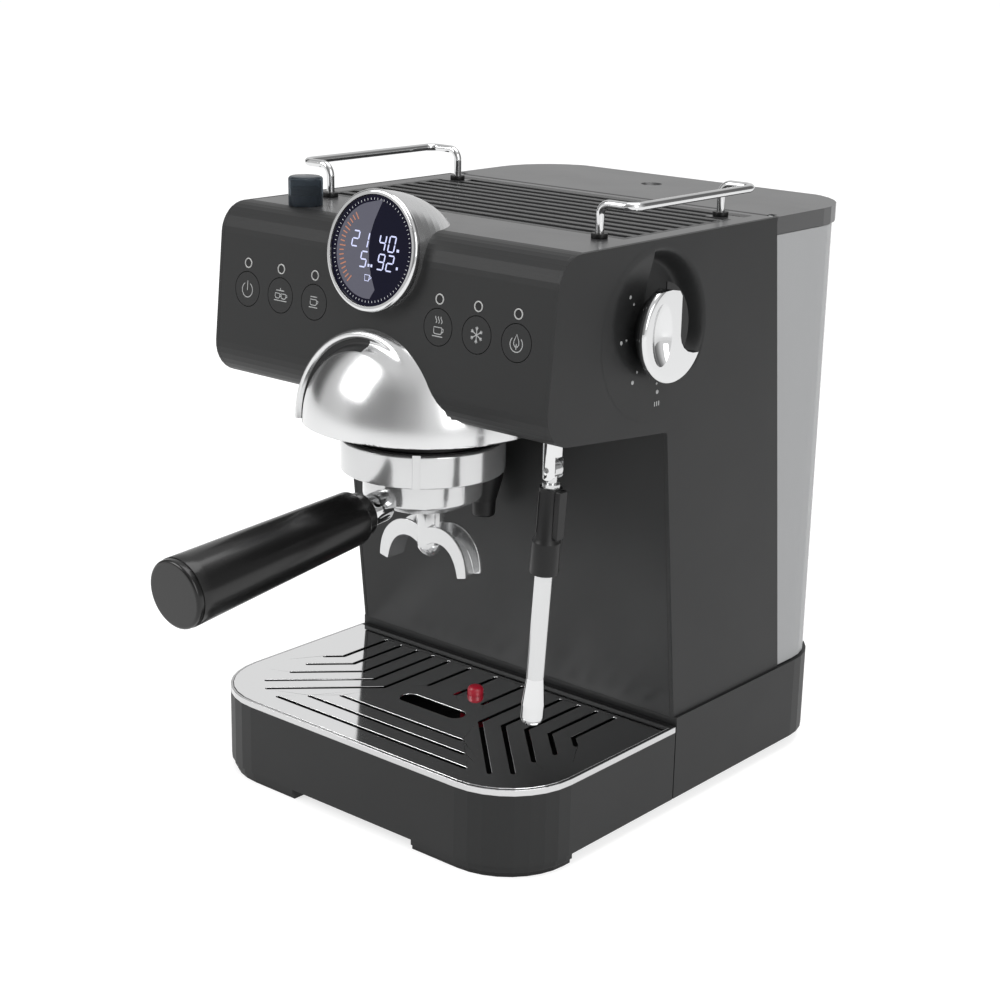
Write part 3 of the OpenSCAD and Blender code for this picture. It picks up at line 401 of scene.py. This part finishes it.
def dress_frame():
    """Gives each CAD node its finish and softened edges."""
    for name, obj in frame["nodes"].items():
        finish, slot, edge = DRESS[name]
        obj.data.materials.clear()
        obj.data.materials.append(finish)
        if edge:
            soften(obj, edge)


dress_frame()


# ---- Display ----

SEGMENTS = {"a": ((0, 1), (1, 1)), "b": ((1, 1), (1, 0.5)), "c": ((1, 0.5), (1, 0)), "d": ((0, 0), (1, 0)),
            "e": ((0, 0), (0, 0.5)), "f": ((0, 0.5), (0, 1)), "g": ((0, 0.5), (1, 0.5))}
DIGITS = {"2": "abged", "1": "bc", "4": "fgbc", "0": "abcdef", "5": "afgcd", "9": "abcdfg"}


def digit_bars(digit, x, y, w, h, t):
    """The lit bars of one seven-segment digit, as thin prisms."""
    bars = []
    for s in DIGITS[digit]:
        (ax, ay), (bx, by) = SEGMENTS[s]
        a = Vector((x + ax * w + 0.12 * ay * h, y + ay * h))
        b = Vector((x + bx * w + 0.12 * by * h, y + by * h))
        along = (b - a).normalized()
        a, b = a + along * t * 0.7, b - along * t * 0.7
        side = Vector((-along.y, along.x)) * t / 2
        tip = along * t / 2
        outline = [a - tip, a + side * -1, b + side * -1, b + tip, b + side, a + side]
        bars.append(prism([tuple(p) for p in outline], 0.62, 0.74))
    return bars


PRINT_LOW, PRINT_HIGH = 0.62, 0.7      # the lit marks stand between these heights over the glass


def ray_tick(degrees, inner, outer, half, high):
    """A short radial mark on the display."""
    a = math.radians(degrees)
    c, s = math.cos(a), math.sin(a)
    outline = [(inner * c - half * s, inner * s + half * c), (inner * c + half * s, inner * s - half * c),
               (outer * c + half * s, outer * s - half * c), (outer * c - half * s, outer * s + half * c)]
    return prism(outline[::-1], PRINT_LOW, high)


def display_face():
    """Digits, a small cup, a pale glare on the left, an orange gauge and a ring of ticks."""
    bars = []
    for digit, x, y in (("2", -14.4, 0.9), ("1", -7.6, 0.9), ("4", 4.4, 0.8), ("0", 11.0, 0.8),
                        ("5", -7.3, -8.9), ("9", 4.9, -8.9), ("2", 11.2, -8.9)):
        bars += digit_bars(digit, x, y, 4.1, 7.8, 0.72)
    for x, y, w, h in ((17.2, 1.2, 1.6, 1.4), (-1.4, -8.4, 1.2, 1.4), (0.6, -8.4, 1.2, 1.4),
                       (18.2, -7.6, 1.2, 1.4)):
        bars.append(prism([(x, y), (x + w, y), (x + w, y + h), (x, y + h)], PRINT_LOW, PRINT_HIGH))
    cup = [(-2.6, -12.6), (-2.2, -15.6), (0.4, -15.6), (0.8, -12.6)]
    bars.append(sweep_mesh([(a, b, PRINT_LOW) for a, b in cup], 0.22, 8, 0.5, closed=True))
    ear = [(0.9, -13.2), (2.2, -13.6), (0.6, -14.9)]
    bars.append(sweep_mesh([(a, b, PRINT_LOW) for a, b in ear], 0.2, 8, 0.5))
    piece("display_digits", *join(bars), on_display(), "housing", DIGIT, "display_glass")
    glare = [(4.0, 26.4), (1.6, 20.6), (-0.6, 15.0), (-2.0, 9.0), (-2.2, 1.8), (-1.0, -5.4), (1.6, -12.4),
             (5.4, -19.4)] + [(24.6 * math.cos(a), 24.6 * math.sin(a))
                              for a in (math.radians(-84 - 6 * k) for k in range(30))]
    piece("display_glare", *prism(glare[::-1], 0.5, 0.63), on_display(), "housing", GLARE, "display_glass")

    gauge = [ray_tick(128 + 6.4 * k, 22.6 - (3.0 if k % 4 else 4.0), 22.6, 0.32, PRINT_HIGH)
             for k in range(17)]
    piece("display_gauge", *join(gauge), on_display(), "housing", ORANGE, "display_glass")
    ticks = [ray_tick(5 * k, 25.6, 26.6, 0.14, 0.68) for k in range(72)]
    piece("display_ticks", *join(ticks), on_display(), "housing", TICK, "display_glass")


display_face()


# ---- Control panel ----

def lines(name, strokes, place, body, width):
    """Thin printed lines, a hair proud of the surface: strokes are lists of local points."""
    parts = []
    for s in strokes:
        closed = s[0] == s[-1]
        pts = s[:-1] if closed else s
        parts.append(sweep_mesh([(p[0], p[1], 0) for p in pts], width / 2, 8, 0.35, closed))
    return piece(name, *join(parts), place, body, PRINT, "lamp_white")


def cup_icon(x, y, w, h):
    """A cup seen from the side, with its handle and saucer."""
    left, right = x - w / 2, x + w / 2
    bowl = rounded([(left, y + h, 0), (left, y, 1.0), (right, y, 1.0), (right, y + h, 0)], 4)
    handle = [(right + a, y + b) for a, b in ((0, h - 0.4), (1.1, h - 0.7), (1.0, 1.3), (0, 0.9))]
    return [bowl + [bowl[0]], handle, [(left - 0.8, y - 1.2), (right + 0.8, y - 1.2)]]


def icon(kind):
    """The strokes of a button's icon."""
    if kind == "power":
        return [arc(0, -0.4, 4.0, 120, 420), [(0, -0.6), (0, 4.6)]]
    if kind == "two_cups":
        return (cup_icon(-2.0, -1.6, 3.4, 2.6) + cup_icon(2.6, -1.6, 3.4, 2.6)
                + [[(-3.0, 2.6), (3.0, 2.6)], [(0, 2.6), (0, 4.0)]])
    if kind == "one_cup":
        return cup_icon(-0.3, -1.6, 4.6, 3.0) + [[(-2.6, 2.8), (2.2, 2.8)]]
    if kind == "hot_water":
        steam = [[(x + 0.5 * math.sin(k * 1.1), 2.0 + 0.7 * k) for k in range(6)] for x in (-1.5, 0.3, 2.1)]
        return cup_icon(0, -3.4, 5.2, 3.4) + steam
    if kind == "cold":
        rays = []
        for k in range(6):
            a = math.radians(60 * k + 30)
            c, s = math.cos(a), math.sin(a)
            rays.append([(0, 0), (4.2 * c, 4.2 * s)])
            for d in (-28, 28):
                b = a + math.radians(d)
                rays.append([(2.3 * c, 2.3 * s), (2.3 * c + 1.6 * math.cos(b), 2.3 * s + 1.6 * math.sin(b))])
        return rays
    ring = arc(0, -0.6, 3.9, 135, 405)
    drop = [(0, 4.2), (1.5, 1.0), (1.7, -0.6), (0.8, -1.9), (-0.8, -1.9), (-1.7, -0.6), (-1.5, 1.0), (0, 4.2)]
    return [ring, drop, [(0, -0.4), (0, -3.4)]]


BUTTONS = {"power": -95.3, "two_cups": -69.7, "one_cup": -44.1,
           "hot_water": 44.1, "cold": 69.7, "steam": 95.3}
BUTTON_Z, LAMP_Z = 281.3, 295.4


def buttons():
    """An icon on each button, which rides on that button's body."""
    for kind, x in BUTTONS.items():
        lines("icon_" + kind, icon(kind), on_panel(x, BUTTON_Z), kind + "_button", 0.5)


buttons()


# ---- Group hood ----

HOOD_R = 65.5
HOOD_IN = 44.0          # how far behind the panel its centre lies
HOOD_LOW_Z = 219.9
HOOD_REAR_Y = -63.0
SHELL = 6.0             # how deep inside the head the hood may end


def trim(obj, keep):
    """Deletes the points of a mesh for which keep(x, y, z), in machine millimetres, is false."""
    cut = bmesh.new()
    cut.from_mesh(obj.data)
    bmesh.ops.delete(cut, geom=[v for v in cut.verts if not keep(*(v.co / MM - SHIFT))], context="VERTS")
    cut.to_mesh(obj.data)
    cut.free()


def slice_off(obj, point, normal):
    """Cuts a mesh along a plane and drops the side that the normal points to."""
    cut = bmesh.new()
    cut.from_mesh(obj.data)
    bmesh.ops.bisect_plane(cut, geom=cut.verts[:] + cut.edges[:] + cut.faces[:], dist=1e-7,
                           plane_co=(Vector(point) + SHIFT) * MM, plane_no=normal, clear_outer=True)
    cut.to_mesh(obj.data)
    cut.free()


HOOD_PHI_DEG = list(range(37)) + [37.3, 39.2, 41.2, 42.4, 43.4, 44.8, 46.4, 47.8, 49, 50.6]
HOOD_PHI_DEG += range(52, 106, 2)
GROOVE_ROWS = (36, 40)
BEAD_ROW = 37                # the first row that leaves the dome
BEAD = [(39.9, 6.6), (41.2, 3.6), (43.2, 2.6), (44.6, 3.4), (45.4, 4.8), (46.8, 5.4), (48.3, 4.6),
        (49.2, 2.8), (49.6, 0.6), (50.0, -1.6)]


def hood_point(k, turn):
    """(radius, height) on the hood's skin: the beaded profile on the left, the plain dome on the right."""
    phi = math.radians(HOOD_PHI_DEG[k])
    plain = (HOOD_R * math.sin(phi), HOOD_R * math.cos(phi) - HOOD_IN)
    if not BEAD_ROW <= k < BEAD_ROW + len(BEAD):
        return plain
    beaded = BEAD[k - BEAD_ROW]
    w = ease((turn - 44) / 62 if turn <= 180 else (312 - turn) / 34)
    return beaded[0] * w + plain[0] * (1 - w), beaded[1] * w + plain[1] * (1 - w)


def hood_place():
    """The hood's frame: Z stands square off the panel."""
    tilt = math.radians(RAKE_DEG)
    return at(0, GROUP_Y - HOOD_IN * math.cos(tilt), 220 + HOOD_IN * math.sin(tilt), rx=90 - RAKE_DEG)


def hood_skin(name, first, last, finish, slot, lift=0.0, seg=192):
    """A band of the hood's skin between two profile rows."""
    verts, faces = [], []
    for k in range(first, last + 1):
        for t in range(seg):
            r, h = hood_point(k, 360 * t / seg)
            verts.append((r * math.cos(math.tau * t / seg), r * math.sin(math.tau * t / seg), h + lift))
    for k in range(last - first):
        for t in range(seg):
            m = (t + 1) % seg
            faces.append((seg * k + t, seg * (k + 1) + t, seg * (k + 1) + m, seg * k + m))
    skin = piece(name, verts, faces, hood_place(), "housing", finish, slot, angle=60)
    even_normals(skin.data, weld=True)
    slice_off(skin, (0, 0, HOOD_LOW_Z), (0, 0, -1))
    slice_off(skin, (0, HOOD_REAR_Y, 0), (0, 1, 0))
    trim(skin, lambda x, y, z: y < panel_y(z) + SHELL or z < under_z(y) + SHELL)
    return skin


def hood():
    """A polished half dome whose left edge rolls back into a bead, with a groove before it that a thin black
    strip darkens as painted shade.
    """
    shell = hood_skin("hood_shell", 0, len(HOOD_PHI_DEG) - 1, SHEEN, "chrome")
    thick = shell.modifiers.new("wall", "SOLIDIFY")
    thick.thickness = 1.6 * MM
    thick.offset = -1
    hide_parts("group_hood")
    # Painted shade: a black strip laid a hair over the chrome along the groove on the left, for the shade that
    # falls in it.
    groove = hood_skin("hood_groove_shade", *GROOVE_ROWS, SOFT, "soft_black", lift=0.12)
    trim(groove, lambda x, y, z: x < 2)
    lathe("hood_bolt", [(0, 0), (2.6, 0), (2.6, 4.5), (2.0, 5.2), (0, 5.2)], at(58, -90, 222.5), "housing",
          SATIN, "chrome", seg=24)


hood()


# ---- Steam knob and its dish ----

DISH_Y, DISH_Z, SIDE_X = -36.1, 277.3, 118.5
KNOB_Z, KNOB_BACK_X = 279.1, 117.3


def dish_depth(y, z):
    """Depth below the side, in mm, at a point given from the dish's middle."""
    e = math.hypot(y / 37, (z - 10) / 32)
    depth = 5.6 * (1 - e * e) ** 1.3 if e < 1 else 0.0
    if y > -4.5:
        depth = max(depth, 12.4 * ease((43 - math.hypot(y, z)) / 6.5) * ease((z + 24) / 22))
    return depth


def dish():
    """The finger hollow behind the knob: it runs out softly in front and below, and is deep at the back."""
    ys = [-48 + 1.2 * k for k in range(37)] + [-4.5, -4.3] + [-3.6 + 0.9 * k for k in range(58)]
    zs = [-48 + 1.0 * k for k in range(97)]
    verts = [(SIDE_X + 0.06 - dish_depth(y, z), y, z) for z in zs for y in ys]
    n = len(ys)
    faces = []
    for j in range(len(zs) - 1):
        for i in range(n - 1):
            ring = (j * n + i, j * n + i + 1, (j + 1) * n + i + 1, (j + 1) * n + i)
            far = max(math.hypot(verts[k][1], verts[k][2]) for k in ring)
            if far < 46.5:
                faces.append(ring)
    skin = piece("knob_dish", verts, faces, at(0, DISH_Y, DISH_Z), "housing", CASE, "black_case", angle=50)
    loose = bmesh.new()
    loose.from_mesh(skin.data)
    bmesh.ops.delete(loose, geom=[v for v in loose.verts if not v.link_faces], context="VERTS")
    loose.to_mesh(skin.data)
    loose.free()


def dial_marks():
    """Printed dots round the knob, and a generic mark under the last."""
    dots = [(-19.7, 20.8, 1.0), (-14.9, 16.3, 0.7), (-28.3, -1.1, 1.1), (-22.4, -0.8, 0.7),
            (-19.0, -22.6, 1.1), (-15.3, -17.8, 0.7), (2.7, -31.0, 1.1), (1.9, -26.4, 0.7)]
    for k, (y, z, r) in enumerate(dots):
        x = SIDE_X + 0.05 - dish_depth(y, z)
        lathe(f"dial_dot_{k}", [(0, 0.25), (r * 0.8, 0.25), (r, 0.1), (r, -0.3)],
              at(x, DISH_Y + y, DISH_Z + z, ry=90), "housing", PRINT, "lamp_white", seg=20)
    bars = [prism([(y, -38.4), (y + 0.7, -38.4), (y + 0.7, -36.0), (y, -36.0)], 0.0, 0.2)
            for y in (0.4, 2.2, 4.0)]
    verts, faces = join(bars)
    piece("dial_mark", [(SIDE_X + 0.05 + c, a, b) for a, b, c in verts], faces, at(0, DISH_Y, DISH_Z),
          "housing", PRINT, "lamp_white")


def solid(verts, faces, place):
    """A tool for cutting, deleted after its use."""
    mesh = bpy.data.meshes.new("tool")
    mesh.from_pydata([place @ Vector(v) for v in verts], [], faces)
    obj = bpy.data.objects.new("tool", mesh)
    bpy.context.scene.collection.objects.link(obj)
    even_normals(mesh)
    return obj


def carve(obj, tools, angle=30):
    """Cuts the tools out of a piece, exactly."""
    for tool in tools:
        cut = obj.modifiers.new("cut", "BOOLEAN")
        cut.operation, cut.solver, cut.object = "DIFFERENCE", "EXACT", tool
        bpy.context.view_layer.update()
        mesh = bpy.data.meshes.new_from_object(obj.evaluated_get(bpy.context.evaluated_depsgraph_get()))
        obj.modifiers.clear()
        obj.data = mesh
        bpy.data.objects.remove(tool)
    for polygon in obj.data.polygons:
        polygon.use_smooth = True
    obj.data.set_sharp_from_angle(angle=math.radians(angle))
    return obj


def ball(radii, seg=64):
    """An ellipsoid's vertices and faces."""
    verts, faces = [(0, 0, -radii[2])], []
    rows = seg // 2
    for j in range(1, rows):
        b = math.pi * j / rows - math.pi / 2
        verts += [(radii[0] * math.cos(b) * math.cos(2 * math.pi * k / seg),
                   radii[1] * math.cos(b) * math.sin(2 * math.pi * k / seg), radii[2] * math.sin(b))
                  for k in range(seg)]
    verts.append((0, 0, radii[2]))
    for k in range(seg):
        m = (k + 1) % seg
        faces.append((0, 1 + m, 1 + k))
        for j in range(rows - 2):
            a = 1 + j * seg
            faces.append((a + k, a + m, a + seg + m, a + seg + k))
        a = 1 + (rows - 2) * seg
        faces.append((a + k, a + m, len(verts) - 1))
    return verts, faces


RIDGE = 4.6
SCOOP = [(-24, 34), (-17, 21.4), (-11, 22.4), (-4, 22.6), (2.4, 21.4), (RIDGE, 18.6), (RIDGE, -2.0),
         (5.6, -5.6), (8.0, -8.8), (11.6, -11.2), (16.5, -12.6), (24, -13.0), (40, -12.6), (40, 34)]
THUMB_R = (19, 13, 25)
THUMB_AT = (144.8, -11.2, 0.5)


def knob():
    """A chrome knob with a hollow for the thumb, an upright ridge and a scoop behind it, lined with a black sheet
    of painted shade.
    """
    profile = rounded([(0, 0, 0), (18, 0, 1.5), (24.6, 7, 8), (26.5, 10.2, 3), (25.6, 13, 3.4), (0, 13, 0)])
    profile[-1:] = [(22, 13), (0, 13)]
    place = at(KNOB_BACK_X, DISH_Y, KNOB_Z, ry=90)
    body = lathe("knob_body", profile, place, "steam_knob", CHROME, "chrome", seg=128)
    along = at(0, DISH_Y, KNOB_Z)
    verts, faces = prism(SCOOP, 120.0, 150.0)
    scoop = solid([(c, a, b) for a, b, c in verts], faces, along)
    verts, faces = ball(THUMB_R)
    x, y, z = THUMB_AT
    thumb = solid([(a + x, b + y, c + z) for a, b, c in verts], faces, along)
    carve(body, [scoop, thumb])
    bevel(body, 0.7, 3, 32)
    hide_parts("steam_knob")
    # The black lining of the scoop is painted shade: a thin black sheet for the dark that the chrome scoop shows,
    # from its shadow and from reflecting the dark dish. It takes the place of the CAD node knob_insert.
    rim = [(x, y) for x, y, z in arc(0, 0, 25, -30, 75, 21) if x > RIDGE]
    shade_lining = [(RIDGE + 0.02, 24.4), (RIDGE + 0.02, -2.0), (5.6, -5.5), (8.0, -8.7), (11.6, -11.1),
              (16.5, -12.5), (21.6, -12.8)] + rim
    verts, faces = prism(shade_lining, 119.9, 120.5)
    black = piece("knob_pocket_shade", [(c, a, b) for a, b, c in verts], faces, along, "steam_knob", SOFT,
                  "soft_black")
    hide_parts("knob_insert")


dish()
dial_marks()
knob()


# ---- Spout ----

SPOUT_Y = -74.5


TROUGH_HALF, TROUGH_WALL = 7.0, 1.7


def trough(path, heights, width, wall):
    """A U-shaped channel along a path in the XZ plane, open on its outer side."""
    verts, faces = [], []
    pts = [Vector((x, z)) for x, z in path]
    for k, p in enumerate(pts):
        along = (pts[min(k + 1, len(pts) - 1)] - pts[max(k - 1, 0)]).normalized()
        out = Vector((-along.y, along.x))
        if out.y < 0 and abs(along.x) > 0.7:
            out = -out
        if out.x * p.x < 0 and abs(along.y) > 0.7:
            out = -out
        h = heights[k]
        for u, v in ((-width, 0), (width, 0), (width, h), (width - wall, h), (width - wall, wall),
                     (wall - width, wall), (wall - width, h), (-width, h)):
            q = p + out * v
            verts.append((q.x, u, q.y))
    for k in range(len(pts) - 1):
        for j in range(8):
            m = (j + 1) % 8
            faces.append((8 * k + j, 8 * k + m, 8 * k + 8 + m, 8 * k + 8 + j))
    last = 8 * (len(pts) - 1)
    for a in (0, last):
        faces += [(a, a + 1, a + 4, a + 5), (a + 1, a + 2, a + 3, a + 4), (a + 5, a + 6, a + 7, a)]
    return verts, faces


def spout():
    """A stem with a rounded foot and an open channel curving down on each side."""
    stem = [(0, 139.6), (2.4, 140.4), (4.9, 142.2), (6.9, 145), (7.75, 148.5), (7.75, 170.6), (7.4, 171.2),
            (0, 171.2)]
    pin = lathe("spout_stem", stem, at(0, SPOUT_Y, 0), "portafilter", STEEL, "chrome", seg=64)
    lathe("spout_washer", rounded([(7.0, 169.2, 0), (11.4, 169.2, 0.4), (11.4, 171.6, 0.4), (7.0, 171.6, 0)], 3),
          at(0, SPOUT_Y, 0), "portafilter", SATIN, "chrome", seg=48)
    curve = [(3.0, 148.4), (8.5, 150.6), (14.5, 150.4), (19.6, 147.6), (23.0, 143.0), (24.9, 138.2),
             (25.9, 134.2)]
    depth = [8.6, 9.2, 9.2, 8.6, 7.8, 6.8, 6.0]
    path = smooth_path([(x, z, d) for (x, z), d in zip(curve, depth)], 6)
    for side, name in ((1, "spout_arm_right"), (-1, "spout_arm_left")):
        verts, faces = trough([(side * q.x, q.y) for q in path], [q.z for q in path], TROUGH_HALF, TROUGH_WALL)
        arm = piece(name, verts, faces, at(0, SPOUT_Y, 0), "portafilter", STEEL, "chrome", angle=40)
        even_normals(arm.data)
        bevel(arm, 0.45, 2, 40)
    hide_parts("spout")


spout()


# ---- Small parts ----

def float_knob():
    """The red float: a broad disc below the plate and a rounded button above it."""
    dome = rounded([(0, 33, 0), (8.6, 33, 1), (8.6, 44.6, 1), (4.5, 45.4, 0.5), (4.6, 55.6, 3.2), (0, 56.2, 0)])
    button = lathe("float_button", dome, at(7.8, -43.2, 0), "tray_float", FLOAT, "float_red", seg=48)
    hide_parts("tray_float")


def wand_details():
    """The black grip with its release tab, and the ball in the chrome fork."""
    upper = rounded([(4.75, 9.5, 0), (5.9, 9.5, 0.8), (6.1, 36.5, 0), (7.35, 38.5, 1.2), (7.5, 56, 1.2),
                     (4.75, 56, 0)], 4)
    grip = lathe("grip_sleeve", upper + [upper[0]], on_wand(), "steam_wand", SOFT, "soft_black", seg=64)
    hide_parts("wand_grip")
    tab = rounded([(10, -3.2, 0.8), (15, -3.4, 0.8), (36, -3.0, 1.4), (36, 3.0, 1.4), (15, 3.4, 0.8),
                   (10, 3.2, 0.8)], 3)
    verts, faces = prism(tab, 5.2, 8.4)
    lever = piece("grip_tab", [(-c, b, a) for a, b, c in verts], faces, on_wand(), "steam_wand", SOFT,
                  "soft_black")
    lever.modifiers.new("edge", "BEVEL").width = 0.5 * MM
    for k, a in enumerate((-62, -30, 30, 62)):
        bar = prism([(12, -0.35), (33, -0.35), (33, 0.35), (12, 0.35)], 5.7, 6.35)
        turn = on_wand() @ Matrix.Rotation(math.radians(a), 4, "Z")
        piece(f"grip_rib_{k}", [(c, b, a2) for a2, b, c in bar[0]], bar[1], turn, "steam_wand", SOFT,
              "soft_black")
    verts, faces = ball((3.0, 3.0, 3.0), 32)
    piece("wand_ball", verts, faces, at(WAND_X, WAND_Y, WAND_Z), "steam_wand", SOFT, "soft_black")


VENT_X, VENT_Y = -82.0, -88.0


def vent_cap():
    """A clear smoked cup, upside down over the blue stem."""
    cup = rounded([(7.2, 0, 0), (9.4, 0, 0.4), (9.5, 15.7, 1.8), (0, 15.7, 0)]) + \
        rounded([(0, 14.2, 0), (8.2, 14.2, 1.2), (7.9, 1.2, 0.4), (7.2, 0, 0)])
    cap = lathe("vent_cup", cup, at(VENT_X, VENT_Y, TOP_Z + 0.05), "housing", CAP, "smoke_cap", seg=64)
    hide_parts("vent_cap")


LAMP_R = 2.45


def lamp_rings():
    """Thin white rings with dark middles above the buttons."""
    rings, middles = [], []
    for x in BUTTONS.values():
        place = on_panel(x, LAMP_Z)
        angles = [math.tau * k / 32 for k in range(32)]
        circle = [(LAMP_R * math.cos(t), LAMP_R * math.sin(t), 0.12) for t in angles]
        verts, faces = sweep_mesh(circle, 0.36, 8, 1.0, closed=True)
        rings.append(([tuple(place @ Vector(v)) for v in verts], faces))
        verts, faces = prism([(a, b) for a, b, c in circle], -0.4, 0.05)
        middles.append(([tuple(place @ Vector(v)) for v in verts], faces))
    ring = piece("lamp_rings", *join(rings), Matrix(), "housing", LAMP, "lamp_white")
    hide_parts("indicator_rings")
    piece("lamp_middles", *join(middles), Matrix(), "housing", SOFT, "soft_black")


float_knob()
wand_details()
vent_cap()
lamp_rings()


# ---- Floor, light and camera ----

def floor():
    """A wide, plain white floor."""
    mesh = bpy.data.meshes.new("floor")
    r = 12.0
    mesh.from_pydata([(-r, -r, 0), (r, -r, 0), (r, r, 0), (-r, r, 0)], [], [(0, 1, 2, 3)])
    obj = bpy.data.objects.new("floor", mesh)
    bpy.context.scene.collection.objects.link(obj)
    mat = bpy.data.materials.new("floor_white")
    mat.use_nodes = True
    shader = mat.node_tree.nodes["Principled BSDF"]
    shader.inputs["Base Color"].default_value = (0.42, 0.42, 0.42, 1)
    shader.inputs["Roughness"].default_value = 0.9
    shader.inputs["Specular IOR Level"].default_value = 0.0
    shader.inputs["Emission Color"].default_value = (1, 1, 1, 1)
    shader.inputs["Emission Strength"].default_value = 0.72
    mesh.materials.append(mat)


def soft_box(name, place, target, size, power):
    """A rectangular area light, in metres and watts, turned towards a target."""
    light = bpy.data.lights.new(name, "AREA")
    light.shape = "RECTANGLE"
    light.size, light.size_y = size
    light.energy = power
    obj = bpy.data.objects.new(name, light)
    bpy.context.scene.collection.objects.link(obj)
    obj.location = place
    obj.rotation_mode = "QUATERNION"
    obj.rotation_quaternion = (Vector(target) - Vector(place)).to_track_quat("-Z", "Y")


SKY = ((-180, 0.9), (-140, 0.85), (-132, 0.05), (-118, 0.05), (-110, 0.8), (-78, 0.95), (-60, 0.4),
       (-30, 0.34), (-6, 0.6), (10, 1.1), (60, 1.1), (84, 0.5), (110, 0.2), (128, 0.25), (140, 0.9),
       (180, 0.9))                 # grey level by azimuth in degrees
SKY_TURN_DEG = 50
SKY_STRENGTH = 0.85
BACKDROP = 1.35                    # what the camera sees behind the machine


def world():
    """A studio of soft light and dark bands for the chrome, white above, plain white to the camera."""
    sky = bpy.data.worlds.new("studio")
    bpy.context.scene.world = sky
    sky.use_nodes = True
    tree = sky.node_tree
    back = tree.nodes["Background"]
    back.inputs["Strength"].default_value = SKY_STRENGTH

    def node(kind):
        return tree.nodes.new("ShaderNode" + kind)

    where, turn, sweep, ramp = node("TexCoord"), node("Mapping"), node("TexGradient"), node("ValToRGB")
    turn.inputs["Rotation"].default_value = (0, 0, math.radians(SKY_TURN_DEG))
    sweep.gradient_type = "RADIAL"
    elements = ramp.color_ramp.elements
    while len(elements) < len(SKY):
        elements.new(0.5)
    for element, (azimuth, _) in zip(elements, SKY):
        element.position = azimuth / 360 + 0.5
    for element, (_, level) in zip(elements, SKY):
        element.color = (level, level, level, 1)
    split, high = node("SeparateXYZ"), node("MapRange")
    high.inputs["From Min"].default_value = 0.55
    high.inputs["From Max"].default_value = 0.85
    above, seen, white = node("Mix"), node("LightPath"), node("Mix")
    above.data_type = white.data_type = "RGBA"
    above.inputs["B"].default_value = (1, 1, 1, 1)
    white.inputs["B"].default_value = (BACKDROP, BACKDROP, BACKDROP, 1)
    for start, end in (
            (where.outputs["Generated"], turn.inputs["Vector"]), (turn.outputs["Vector"], sweep.inputs["Vector"]),
            (sweep.outputs["Fac"], ramp.inputs["Fac"]), (where.outputs["Generated"], split.inputs["Vector"]),
            (split.outputs["Z"], high.inputs["Value"]), (high.outputs["Result"], above.inputs["Factor"]),
            (ramp.outputs["Color"], above.inputs["A"]), (above.outputs["Result"], white.inputs["A"]),
            (seen.outputs["Is Camera Ray"], white.inputs["Factor"]),
            (white.outputs["Result"], back.inputs["Color"])):
        tree.links.new(start, end)
    bpy.context.scene.view_settings.view_transform = "Standard"


CAMERA_AT = Vector((695.246, -842.681, 486.466))
CAMERA_AZ, CAMERA_EL, CAMERA_ROLL = math.radians(40.058), math.radians(16.854), math.radians(1.26)
LENS, SENSOR = 71.33, 36.0


def camera():
    """A long lens from the front right, a little above, with a slight roll."""
    cam = bpy.data.cameras.new("camera")
    obj = bpy.data.objects.new("camera", cam)
    bpy.context.scene.collection.objects.link(obj)
    cam.lens, cam.sensor_width = LENS, SENSOR
    cam.clip_start, cam.clip_end = 0.05, 50
    az, el, roll = CAMERA_AZ, CAMERA_EL, CAMERA_ROLL
    back = Vector((math.sin(az) * math.cos(el), -math.cos(az) * math.cos(el), math.sin(el)))
    right = Vector((0, 0, 1)).cross(back).normalized()
    up = back.cross(right)
    x_axis = math.cos(roll) * right + math.sin(roll) * up
    y_axis = -math.sin(roll) * right + math.cos(roll) * up
    turn = Matrix((x_axis, y_axis, back)).transposed().to_4x4()
    obj.matrix_world = Matrix.Translation((CAMERA_AT + SHIFT) * MM) @ turn
    bpy.context.scene.camera = obj


floor()
world()
soft_box("key", (-1.3, -1.9, 1.7), (0, 0, 0.2), (1.3, 1.3), 34)
soft_box("side", (2.2, -0.7, 1.2), (0, 0, 0.2), (1.0, 1.6), 20)
soft_box("top", (0.2, 0.4, 2.4), (0, 0, 0.2), (1.6, 1.6), 26)
camera()
